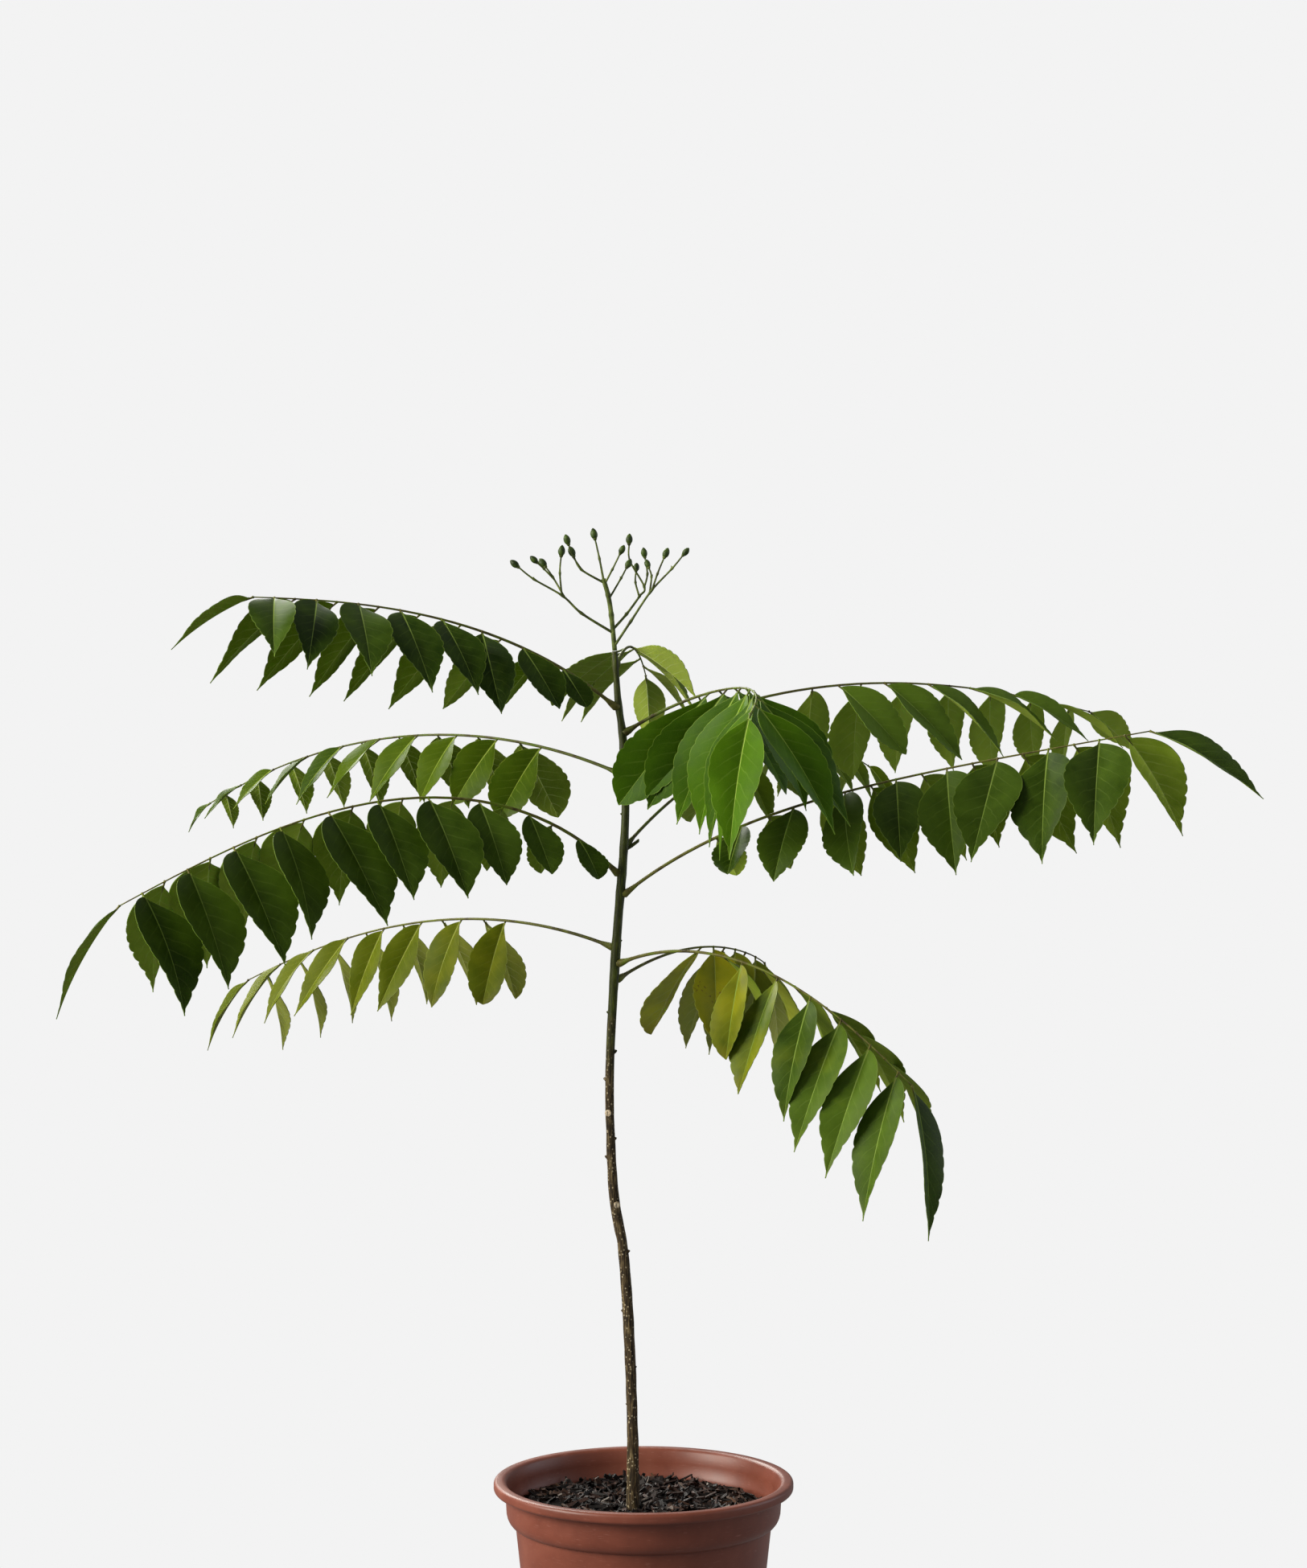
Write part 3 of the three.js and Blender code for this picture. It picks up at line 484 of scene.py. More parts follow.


# Fronds: the same measures as the part's. height is where a frond leaves the stem and
# heading the way it points, with turn added along it. It leaves at rise above level and
# ends at fall, bend setting how early it comes down. loose is how unevenly its leaflets
# hang. Pairs are for the first and last leaflet: nod is how far their faces turn down to
# the tip, and each row has its own out, how far leaflets hang out to their side, lean, how
# far towards the tip, and roll, how far they turn about their own ribs. age is how yellow
# the oldest leaflets are, and tone how much paler the whole frond is.
# tone is partly a frond's own paleness and partly painted light: the fronds at the back, which the
# lamps leave in shade, are painted paler, and the lit fronds at the left darker
fronds = {
    "frond_top_left": {"seed": 1, "height": 450, "heading": 208, "turn": 0, "rise": 37,
        "fall": 0, "bend": 1.6, "length": 177, "leaflets": 16, "bare": 0.17, "longest": 57,
        "young": 0.38, "taper": 0.25, "slim": 0.42, "loose": 1, "nod": (0, 0),
        "left": {"out": (30, 50), "lean": (-14, 22), "roll": (16, 12)},
        "right": {"out": (20, 18), "lean": (28, 38), "roll": (20, 36)},
        "end": {"drop": 36, "roll": 18}, "look": "leaf", "age": 0,
        "tone": -1.3},
    "frond_top_back": {"seed": 2, "height": 468, "heading": 78, "turn": 0, "rise": 35,
        "fall": -45, "bend": 0.9, "length": 66, "leaflets": 7, "bare": 0.35, "longest": 48,
        "young": 0.85, "taper": 0.3, "slim": 0.42, "loose": 1, "nod": (50, 38),
        "left": {"out": (33, 27), "lean": (18, 16), "roll": (-16, -16)},
        "right": {"out": (40, 30), "lean": (14, 14), "roll": (-12, -12)},
        "end": {"drop": 30, "roll": 0}, "look": "leaf_pale", "age": 0.1,
        "tone": 2.4},
    "frond_upper_left": {"seed": 3, "height": 421, "heading": 155, "turn": 0, "rise": 22,
        "fall": -29, "bend": 1.04, "length": 221, "leaflets": 19, "bare": 0.18, "longest": 41,
        "young": 0.92, "taper": 0.58, "slim": 0.43, "loose": 1.3, "nod": (0, 0),
        "left": {"out": (30, 32), "lean": (14, 28), "roll": (-4, 44)},
        "right": {"out": (28, 28), "lean": (-8, 8), "roll": (8, 10)},
        "end": {"drop": 24, "roll": -40}, "look": "leaf_pale", "age": 0.1,
        "tone": -1},
    "frond_middle_left": {"seed": 4, "height": 378, "heading": 200, "turn": 0, "rise": 47,
        "fall": -28, "bend": 2, "length": 236, "leaflets": 20, "bare": 0.1, "longest": 60,
        "young": 0.33, "taper": 0.12, "slim": 0.5, "loose": 1, "nod": (0, 0),
        "left": {"out": (24, 26), "lean": (-14, -8), "roll": (-8, -22)},
        "right": {"out": (34, 30), "lean": (2, -4), "roll": (16, 24)},
        "end": {"drop": 36, "roll": 10}, "look": "leaf", "age": 0,
        "tone": -0.2},
    "frond_lower_left": {"seed": 5, "height": 346, "heading": 150, "turn": 0, "rise": 18,
        "fall": -24, "bend": 1.37, "length": 206, "leaflets": 15, "bare": 0.27, "longest": 45,
        "young": 0.92, "taper": 0.08, "slim": 0.35, "loose": 1, "nod": (0, 0),
        "left": {"out": (24, 30), "lean": (4, 16), "roll": (-14, 40)},
        "right": {"out": (24, 26), "lean": (-12, 6), "roll": (-10, -30)},
        "end": {"drop": 34, "roll": -40}, "look": "leaf_yellowing", "age": 0.2,
        "tone": -0.3},
    "frond_lower_right": {"seed": 6, "height": 339, "heading": -30, "turn": 0, "rise": 22,
        "fall": -41, "bend": 1.8, "length": 157, "leaflets": 13, "bare": 0.33, "longest": 61,
        "young": 0.68, "taper": -0.06, "slim": 0.33, "loose": 1, "nod": (0, 0),
        "left": {"out": (46, 44), "lean": (-2, 0), "roll": (30, 30)},
        "right": {"out": (22, 24), "lean": (0, -5), "roll": (-14, -4)},
        "end": {"drop": 46, "roll": 0}, "look": "leaf", "age": 0.45,
        "tone": 0},
    "frond_lower_back": {"seed": 7, "height": 332, "heading": 40, "turn": 0, "rise": 26,
        "fall": -37, "bend": 0.62, "length": 90, "leaflets": 7, "bare": 0.55, "longest": 54,
        "young": 0.9, "taper": 0.1, "slim": 0.4, "loose": 1, "nod": (10, 10),
        "left": {"out": (26, 20), "lean": (2, 8), "roll": (-12, -12)},
        "right": {"out": (26, 20), "lean": (-16, -10), "roll": (-30, -30)},
        "end": {"drop": 45, "roll": 0}, "look": "leaf_yellowing", "age": 0.75,
        "tone": 2.6},
    "frond_upper_right": {"seed": 8, "height": 431, "heading": 28, "turn": 0, "rise": 27,
        "fall": -11, "bend": 1.47, "length": 255, "leaflets": 14, "bare": 0.385, "longest": 52,
        "young": 0.88, "taper": 0.35, "slim": 0.42, "loose": 1, "nod": (0, 0),
        "left": {"out": (20, 20), "lean": (13, 15), "roll": (0, 0)},
        "right": {"out": (34, 40), "lean": (26, 48), "roll": (2, 44)},
        "end": {"drop": 26, "roll": -40}, "look": "leaf", "age": 0.05,
        "tone": 1.4},
    "frond_middle_right": {"seed": 9, "height": 369, "heading": -12, "turn": 0, "rise": 39,
        "fall": 10, "bend": 3.06, "length": 241, "leaflets": 18, "bare": 0.195, "longest": 54,
        "young": 0.42, "taper": 0, "slim": 0.5, "loose": 2.2, "nod": (0, 0),
        "left": {"out": (30, 32), "lean": (14, 12), "roll": (-10, 30)},
        "right": {"out": (30, 32), "lean": (0, 8), "roll": (-8, 8)},
        "end": {"drop": 45, "roll": 16}, "look": "leaf", "age": 0,
        "tone": -0.5},
    "frond_front": {"seed": 10, "height": 439, "heading": -8, "turn": -102, "rise": 34,
        "fall": -26, "bend": 1.1, "length": 119, "leaflets": 15, "bare": 0.32, "longest": 67,
        "young": 0.92, "taper": 0.06, "slim": 0.36, "loose": 1, "nod": (24, 6),
        "left": {"out": (40, 28), "lean": (-4, 6), "roll": (50, 40)},
        "right": {"out": (18, 10), "lean": (-17, 0), "roll": (38, 20)},
        "end": {"drop": 39, "roll": 0}, "look": "leaf_bright", "age": 0,
        "tone": 0},
    "frond_young_back": {"seed": 11, "height": 390, "heading": 54, "turn": 0, "rise": 34,
        "fall": -27, "bend": 0.74, "length": 222, "leaflets": 13, "bare": 0.36, "longest": 33,
        "young": 0.95, "taper": 0.4, "slim": 0.42, "loose": 1, "nod": (0, 0),
        "left": {"out": (30, 30), "lean": (10, 14), "roll": (-12, -12)},
        "right": {"out": (30, 30), "lean": (10, 14), "roll": (-12, -12)},
        "end": {"drop": 40, "roll": 0}, "look": "leaf_pale", "age": 0.1,
        "tone": 2},
}
blade = {
    "thickness": 0.3, "fold": 0.38, "arch": 14, "outSwing": 0.12, "leanSwing": 6,
    "rollSwing": 12, "footPower": 1, "tipPower": 1.5, "skew": 0.3, "bluntness": 0.9,
    "plumpness": 0.3, "stalk": 0.04, "stalkRadius": 0.42, "teeth": 10, "toothDepth": 0.075,
    "columns": 10, "rows": 60, "wave": 0.35, "footWidth": 0.35, "tipWidth": 0.2,
    "twist": 9, "sway": 0.035, "curl": 0.05,
}
rachis = {"base": 0.82, "tip": 0.27, "swelling": 0.95, "steps": 34, "sides": 10,
          "curveSteps": 40, "gap": 0.3, "lastLeaflet": 0.985}


def drawAt(seed, index):
    # a repeatable draw between 0 and 1, the part's own
    wave = math.sin(seed * 127.1 + index * 311.7) * 43758.5453
    return wave - math.floor(wave)


def swing(seed, index):
    return 2 * drawAt(seed, index) - 1


def rachisOf(frond):
    centre, radius = stemAt(frond["height"])
    heading = math.radians(frond["heading"])
    outwards = Vector((math.cos(heading), math.sin(heading), 0))
    point = centre + outwards * (radius + rachis["gap"])
    points, ways = [point.copy()], []
    for k in range(rachis["curveSteps"]):
        share = (k + 0.5) / rachis["curveSteps"]
        drooped = (1 - share) ** frond["bend"]
        pitch = math.radians(frond["fall"] + (frond["rise"] - frond["fall"]) * drooped)
        yaw = math.radians(frond["heading"] + frond["turn"] * share)
        way = Vector((math.cos(pitch) * math.cos(yaw), math.cos(pitch) * math.sin(yaw),
                      math.sin(pitch)))
        point = point + way * (frond["length"] / rachis["curveSteps"])
        points.append(point.copy())
        ways.append(way)
    ways.append(ways[-1].copy())
    return points, ways, outwards


def onRachis(points, ways, share):
    place = share * rachis["curveSteps"]
    i = min(int(place), rachis["curveSteps"] - 1)
    point = points[i].lerp(points[i + 1], place - i)
    return point, ways[i].lerp(ways[i + 1], place - i).normalized()


def leafletsOf(frond, points, ways):
    # where each leaflet grows, by the same rule as the part's
    leaflets = []
    count, seed = frond["leaflets"], frond["seed"]
    for i in range(count):
        isLast = i == count - 1
        order = i / (count - 1)
        share = (rachis["lastLeaflet"] if isLast else frond["bare"]
                 + (rachis["lastLeaflet"] - frond["bare"]) * order ** 0.95)
        root, way = onRachis(points, ways, share)
        ahead = Vector((way.x, way.y, 0)).normalized()
        row = 1 if i % 2 == 0 else -1
        side = up.cross(ahead) * row
        size = ((1 - (1 - frond["young"]) * (1 - order) ** 3)
                * (1 - frond["taper"] * order ** 2))
        length = frond["longest"] * size * (1 + 0.06 * swing(seed, 10 * i))
        youth = (1 - order) ** 4
        slim = frond["slim"] * (1 + blade["plumpness"] * youth)
        width = length * slim * (1 + 0.05 * swing(seed, 10 * i + 1))

        def along(pair):
            return pair[0] + (pair[1] - pair[0]) * order

        def vary(k, most):
            return frond["loose"] * most * swing(seed, 10 * i + k)

        rows = frond["left" if row == 1 else "right"]
        spread = math.radians(along(rows["out"]) * (1 + vary(2, blade["outSwing"])))
        sweep = math.radians(along(rows["lean"]) + vary(3, blade["leanSwing"]))
        turn = math.radians(row * (along(rows["roll"]) + vary(4, blade["rollSwing"])))
        nod = math.radians(along(frond["nod"]))
        above = up * math.cos(nod) + ahead * math.sin(nod)
        if isLast:
            pitch = math.radians(frond["fall"] - frond["end"]["drop"])
            hang = ahead * math.cos(pitch) + up * math.sin(pitch)
            face = up * math.cos(pitch) - ahead * math.sin(pitch)
            face.rotate(Matrix.Rotation(math.radians(frond["end"]["roll"]), 3, hang))
        else:
            hang = side * math.sin(spread) - above * math.cos(spread)
            hang = (hang * math.cos(sweep) + ahead * math.sin(sweep)).normalized()
            face = side * math.cos(spread) + above * math.sin(spread)
            face = (face - hang * face.dot(hang)).normalized()
            face.rotate(Matrix.Rotation(turn, 3, hang))
        leaflets.append({"root": root, "hang": hang, "face": face, "length": length,
                         "width": width, "order": order, "skew": 0 if isLast else row,
                         "tipPower": blade["tipPower"] - blade["bluntness"] * youth})
    return leaflets


def leafCurve(share, foot, tip):
    # half width of a smooth leaf, 1 at its widest; a higher power makes that end narrower
    widest = foot / (foot + tip)
    return (share / widest) ** foot * ((1 - share) / (1 - widest)) ** tip


def growBlade(bm, layers, leaflet, draw, age, depth):
    # one leaflet: a grid bent into a toothed, folded and arched blade, given its thickness
    root, hang, face = leaflet["root"], leaflet["hang"], leaflet["face"]
    length, width = leaflet["length"], leaflet["width"]
    across = face.cross(hang)
    arch = math.radians(blade["arch"])
    twist = math.radians(draw.uniform(-1, 1) * blade["twist"])
    sway = draw.uniform(-1, 1) * blade["sway"]
    curl = draw.uniform(-0.4, 1) * blade["curl"]
    fold = blade["fold"] * draw.uniform(0.8, 1.35)
    phases = [draw.random(), draw.random()]
    waves = [draw.uniform(0, 6.28), draw.uniform(0, 6.28)]
    teeth = blade["teeth"] + draw.choice((-1, 0, 1))
    # each leaflet's tone: a random share of its own plus the frond's tone, part of which is
    # painted light
    tone = draw.uniform(-1, 1) + depth
    ageing = min(1, max(0, age * draw.uniform(0.5, 1.5)))
    verts = bmesh.ops.create_grid(bm, x_segments=blade["columns"], y_segments=blade["rows"],
                                  size=1, calc_uvs=True)["verts"]
    lower = list({part for vert in verts for part in vert.link_faces})
    for vert in verts:
        u, v = vert.co.x, (vert.co.y + 1) / 2
        share = blade["stalk"] + (1 - blade["stalk"]) * v
        side = 0 if u < 0 else 1
        # the half towards the tip of the frond is widest nearer its foot
        foot = blade["footPower"] + blade["skew"] * leaflet["skew"] * (1 - 2 * side)
        half = width / 2 * leafCurve(min(max(v, 0.0005), 0.9995), foot, leaflet["tipPower"])
        tooth = 1 - abs(math.sin(math.pi * (teeth * v ** 0.9 + phases[side])))
        bite = blade["toothDepth"] * width / 2 * tooth ** 2 * min(max((v - 0.22) / 0.3, 0), 1)
        half = max(half - bite * min(1, half / 2.5), blade["footWidth"] * (1 - v)
                   + blade["tipWidth"])
        aside = -u * half
        bow = (arch * share * (1 - 0.8 * share) + curl * share ** 3) * length
        slope = arch * (1 - 1.6 * share)
        normal = face * math.cos(slope) - hang * math.sin(slope)
        rise = (abs(aside) * fold * (1.15 - 0.35 * abs(u))
                + blade["wave"] * u * u * math.sin(waves[side] + 11 * v) * min(1, half / 4))
        turn = twist * (share - 0.3)
        shifted = aside * math.cos(turn) - rise * math.sin(turn) + sway * length * share ** 2
        raised = aside * math.sin(turn) + rise * math.cos(turn)
        vert.co = root + hang * share * length + face * bow + across * shifted + normal * raised
        vert[layers["outward"]] = normal
        vert[layers["ribGap"]] = abs(aside)
        vert[layers["marginGap"]] = half - abs(aside)
        vert[layers["tone"]] = tone
        vert[layers["age"]] = ageing
    grown = bmesh.ops.extrude_face_region(bm, geom=lower, use_keep_orig=True)["geom"]
    for part in grown:
        if isinstance(part, bmesh.types.BMVert):
            part.co += part[layers["outward"]] * blade["thickness"]
    bmesh.ops.reverse_faces(bm, faces=lower)
    for part in lower:
        part.material_index = 1
    own = {part for part in grown if isinstance(part, bmesh.types.BMVert)} | set(verts)
    for part in {one for vert in own for one in vert.link_faces}:
        part.smooth = True
    for edge in {one for vert in own for one in vert.link_edges}:
        edge.smooth = edge.calc_face_angle(0) < math.radians(22)


# Leaf finishes, one for each leaf slot. deep and fresh are the darkest and
# palest green of the upper skin, under and underPale of the lower one
looks = {
    "leaf": {"deep": "#1a2e00", "fresh": "#50691a", "rib": "#839a48", "under": "#5a7209",
             "underPale": "#90a43c", "underRib": "#9cac5c", "stalk": "#626028"},
    "leaf_bright": {"deep": "#223e00", "fresh": "#4a7004", "rib": "#98b250", "under": "#50700c",
                    "underPale": "#78962e", "underRib": "#a8bc74", "stalk": "#586424"},
    "leaf_pale": {"deep": "#2a4000", "fresh": "#506406", "rib": "#8ea044", "under": "#485e04",
                  "underPale": "#7a8a36", "underRib": "#a8b474", "stalk": "#4e5620"},
    "leaf_yellowing": {"deep": "#3d4a00", "fresh": "#5f6810", "rib": "#8e9648",
                       "under": "#5c6416", "underPale": "#868e48", "underRib": "#a6ac70",
                       "stalk": "#565822"},
}
ageTones = {"yellow": "#8a8710", "straw": "#b2ae34", "brown": "#5a3e14"}


def leafSkin(name, look, isUpper):
    # leaf skin: the upper side has a waxy gloss, the lower is paler, matt and netted. Thin
    # enough that light behind it comes through green
    material, tree, shader = newMaterial(
        name, IOR=1.45, Specular_IOR_Level=0.09 if isUpper else 0.05,
        Subsurface_Weight=0.22 if isUpper else 0.3, Subsurface_Scale=0.6 * mm,
        Subsurface_Radius=(0.7, 1, 0.1))
    spot = addNode(tree, "TexCoord").outputs["Object"]
    place = addNode(tree, "SeparateXYZ", {0: addNode(tree, "UVMap", uv_map="leafMap").outputs[0]})
    ribGap = addNode(tree, "Attribute", attribute_name="ribGap").outputs["Fac"]
    marginGap = addNode(tree, "Attribute", attribute_name="marginGap").outputs["Fac"]
    tone = addNode(tree, "Attribute", attribute_name="tone").outputs["Fac"]
    age = addNode(tree, "Attribute", attribute_name="age").outputs["Fac"]
    aside = addNode(tree, "Math", {0: place.outputs[0], 1: 0.5}, operation="SUBTRACT")
    reach = addNode(tree, "Math", {0: aside.outputs[0]}, operation="ABSOLUTE")
    # nine pairs of side veins, leaving the rib at about 50 degrees and curving to the tip
    slant = addNode(tree, "Math", {0: reach.outputs[0], 1: -0.42, 2: place.outputs[1]},
                    operation="MULTIPLY_ADD")
    wander = addNode(tree, "TexNoise", {"Vector": spot, "Scale": 160, "Detail": 2})
    wandered = addNode(tree, "Math", {0: wander.outputs[0], 1: 0.05, 2: slant.outputs[0]},
                       operation="MULTIPLY_ADD")
    phase = addNode(tree, "Math", {0: wandered.outputs[0], 1: 9}, operation="MULTIPLY")
    turns = addNode(tree, "Math", {0: phase.outputs[0]}, operation="FRACT")
    middle = addNode(tree, "Math", {0: turns.outputs[0], 1: 0.5}, operation="SUBTRACT")
    gap = addNode(tree, "Math", {0: middle.outputs[0]}, operation="ABSOLUTE")
    vein = addNode(tree, "MapRange", {0: gap.outputs[0], 1: 0, 2: 0.09, 3: 1, 4: 0},
                   interpolation_type="SMOOTHSTEP")
    fade = addNode(tree, "MapRange", {0: reach.outputs[0], 1: 0.1, 2: 0.46, 3: 1, 4: 0})
    veins = addNode(tree, "Math", {0: vein.outputs[0], 1: fade.outputs[0]}, operation="MULTIPLY")
    # the rib is 0.5 mm wide at the foot and lost before the tip
    ribEnd = addNode(tree, "MapRange", {0: place.outputs[1], 1: 0, 2: 0.85, 3: 0.45, 4: 0.08})
    ribStart = addNode(tree, "Math", {0: ribEnd.outputs[0], 1: 0.5}, operation="MULTIPLY")
    rib = addNode(tree, "MapRange", {0: ribGap, 1: ribStart.outputs[0], 2: ribEnd.outputs[0],
                                     3: 1, 4: 0})
    # the fine net between veins has meshes about 0.8 mm across
    net = addNode(tree, "TexVoronoi", {"Vector": spot, "Scale": 1250},
                  feature="DISTANCE_TO_EDGE")
    netLine = addNode(tree, "MapRange", {0: net.outputs["Distance"], 1: 0.02, 2: 0.09, 3: 1,
                                         4: 0})
    mottle = addNode(tree, "TexNoise", {"Vector": spot, "Scale": 110, "Detail": 4})
    mottled = addNode(tree, "MapRange", {0: mottle.outputs[0], 1: 0, 2: 1, 3: 0.33, 4: 0.67})
    toned = addNode(tree, "Math", {0: tone, 1: 0.12, 2: mottled.outputs[0]},
                    operation="MULTIPLY_ADD")
    first, second = ("deep", "fresh") if isUpper else ("under", "underPale")
    body = addNode(tree, "ValToRGB", {0: toned.outputs[0]}, stops=[
        (0.28, linear(look[first])), (0.74, linear(look[second]))])
    # ageing: yellow between the veins, straw on the lower skin, then brown specks and tips
    patch = addNode(tree, "TexNoise", {"Vector": spot, "Scale": 55, "Detail": 3})
    worn = addNode(tree, "Math", {0: patch.outputs[0], 1: age}, operation="MULTIPLY")
    yellowing = addNode(tree, "MapRange", {0: worn.outputs[0], 1: 0.12, 2: 0.5, 3: 0, 4: 0.9})
    oldColour = ageTones["yellow"] if isUpper else ageTones["straw"]
    aged = addNode(tree, "Mix", {0: yellowing.outputs[0], 6: body.outputs[0],
                                 7: linear(oldColour)}, data_type="RGBA")
    speck = addNode(tree, "TexNoise", {"Vector": spot, "Scale": 620, "Detail": 2})
    speckAge = addNode(tree, "Math", {0: speck.outputs[0], 1: worn.outputs[0]},
                       operation="MULTIPLY")
    specks = addNode(tree, "MapRange", {0: speckAge.outputs[0], 1: 0.33, 2: 0.37, 3: 0, 4: 0.8})
    tipAge = addNode(tree, "MapRange", {0: place.outputs[1], 1: 0.82, 2: 1, 3: 0, 4: 0.6})
    tipBrown = addNode(tree, "Math", {0: tipAge.outputs[0], 1: age}, operation="MULTIPLY")
    brown = addNode(tree, "Math", {0: specks.outputs[0], 1: tipBrown.outputs[0]},
                    operation="MAXIMUM")
    browned = addNode(tree, "Mix", {0: brown.outputs[0], 6: aged.outputs[2],
                                    7: linear(ageTones["brown"])}, data_type="RGBA")
    veinShow = addNode(tree, "Math", {0: veins.outputs[0], 1: 0.12 if isUpper else 0.4},
                       operation="MULTIPLY")
    netShow = addNode(tree, "Math", {0: netLine.outputs[0], 1: 0.03 if isUpper else 0.1,
                                     2: veinShow.outputs[0]}, operation="MULTIPLY_ADD")
    ribColour = linear(look["rib" if isUpper else "underRib"])
    veined = addNode(tree, "Mix", {0: netShow.outputs[0], 6: browned.outputs[2], 7: ribColour},
                     data_type="RGBA")
    ribShow = addNode(tree, "Math", {0: rib.outputs[0], 1: 0.8}, operation="MULTIPLY")
    ribbed = addNode(tree, "Mix", {0: ribShow.outputs[0], 6: veined.outputs[2], 7: ribColour},
                     data_type="RGBA")
    # the margin is a pale line about 0.25 mm wide
    margin = addNode(tree, "MapRange", {0: marginGap, 1: 0.1, 2: 0.35, 3: 0.28, 4: 0})
    edged = addNode(tree, "Mix", {0: margin.outputs[0], 6: ribbed.outputs[2], 7: ribColour},
                    data_type="RGBA")
    tree.links.new(edged.outputs[2], shader.inputs["Base Color"])
    low, high = (0.42, 0.52) if isUpper else (0.6, 0.75)
    dull = addNode(tree, "MapRange", {0: mottle.outputs[0], 1: 0.3, 2: 0.7, 3: low, 4: high})
    tree.links.new(dull.outputs[0], shader.inputs["Roughness"])
    # veins lie sunk in the upper skin and stand out of the lower one
    sign = -1 if isUpper else 1
    height = addNode(tree, "Math", {0: veins.outputs[0], 1: rib.outputs[0]}, operation="MAXIMUM")
    signed = addNode(tree, "Math", {0: height.outputs[0], 1: sign}, operation="MULTIPLY")
    relief = addNode(tree, "Bump", {"Height": signed.outputs[0], "Strength": 0.22,
                                    "Distance": 0.12 * mm})
    tree.links.new(relief.outputs[0], shader.inputs["Normal"])
    return material


def leafStalk(name, look):
    # leaf stalk: smooth green skin with browner streaks
    material, tree, shader = newMaterial(name, Roughness=0.55, IOR=1.45,
                                         Specular_IOR_Level=0.25)
    spot = addNode(tree, "TexCoord").outputs["Object"]
    streak = addNode(tree, "TexNoise", {"Vector": spot, "Scale": 210, "Detail": 4})
    colour = addNode(tree, "ValToRGB", {0: streak.outputs[0]}, stops=[
        (0.34, linear("#403a1c")), (0.72, linear(look["under"])), (0.5, linear(look["stalk"]))])
    tree.links.new(colour.outputs[0], shader.inputs["Base Color"])
    relief = addNode(tree, "Bump", {"Height": streak.outputs[0], "Strength": 0.3,
                                    "Distance": 0.1 * mm})
    tree.links.new(relief.outputs[0], shader.inputs["Normal"])
    return material


leafFinishes = {name: [leafSkin(name + "Upper", look, True), leafSkin(name + "Under", look, False),
                       leafStalk(name + "Stalk", look)] for name, look in looks.items()}


def pieceName(node):
    # frond_top_left becomes topLeftFrond
    words = node.split("_")[1:]
    return words[0] + "".join(word.capitalize() for word in words[1:]) + "Frond"


def makeFrond(node, frond):
    draw = random.Random(frond["seed"])
    bm = bmesh.new()
    bm.loops.layers.uv.new("leafMap")
    layers = {name: bm.verts.layers.float.new(name)
              for name in ("ribGap", "marginGap", "tone", "age")}
    layers["outward"] = bm.verts.layers.float_vector.new("outward")
    points, ways, outwards = rachisOf(frond)
    leaflets = leafletsOf(frond, points, ways)
    for leaflet in leaflets:
        # leaflets age from the foot of the frond
        ageing = frond["age"] * (1.1 - leaflet["order"]) ** 0.8
        growBlade(bm, layers, leaflet, draw, ageing, frond["tone"])
    stops = [points[0] - outwards * (rachis["gap"] + 1.2)]
    radii = [rachis["base"] + rachis["swelling"]]
    for k in range(rachis["steps"] + 1):
        share = rachis["lastLeaflet"] * (k / rachis["steps"]) ** 1.25
        stops.append(onRachis(points, ways, share)[0])
        swelling = rachis["swelling"] * math.exp(-((share * frond["length"]) / 3.4) ** 2)
        radii.append(rachis["base"] + (rachis["tip"] - rachis["base"]) * share ** 0.8 + swelling)
    growTube(bm, stops, radii, rachis["sides"], 2)
    for leaflet in leaflets:
        # a short stalk bends from the leaf stalk into the blade's rib
        root, hang, face = leaflet["root"], leaflet["hang"], leaflet["face"]
        arch = math.radians(blade["arch"])
        reach = blade["stalk"] * leaflet["length"]
        stalkStops = [root + hang * reach * t + face * arch * t * reach
                      for t in (-0.1, 0.4, 0.9, 1.7, 3.2)]
        size = blade["stalkRadius"]
        growTube(bm, stalkStops, [size * 1.5, size * 1.05, size, size * 0.8, size * 0.25], 7, 2)
    makePiece(pieceName(node), bm, leafFinishes[frond["look"]], frond["look"], node)


makeStem()
for node, frond in fronds.items():
    makeFrond(node, frond)


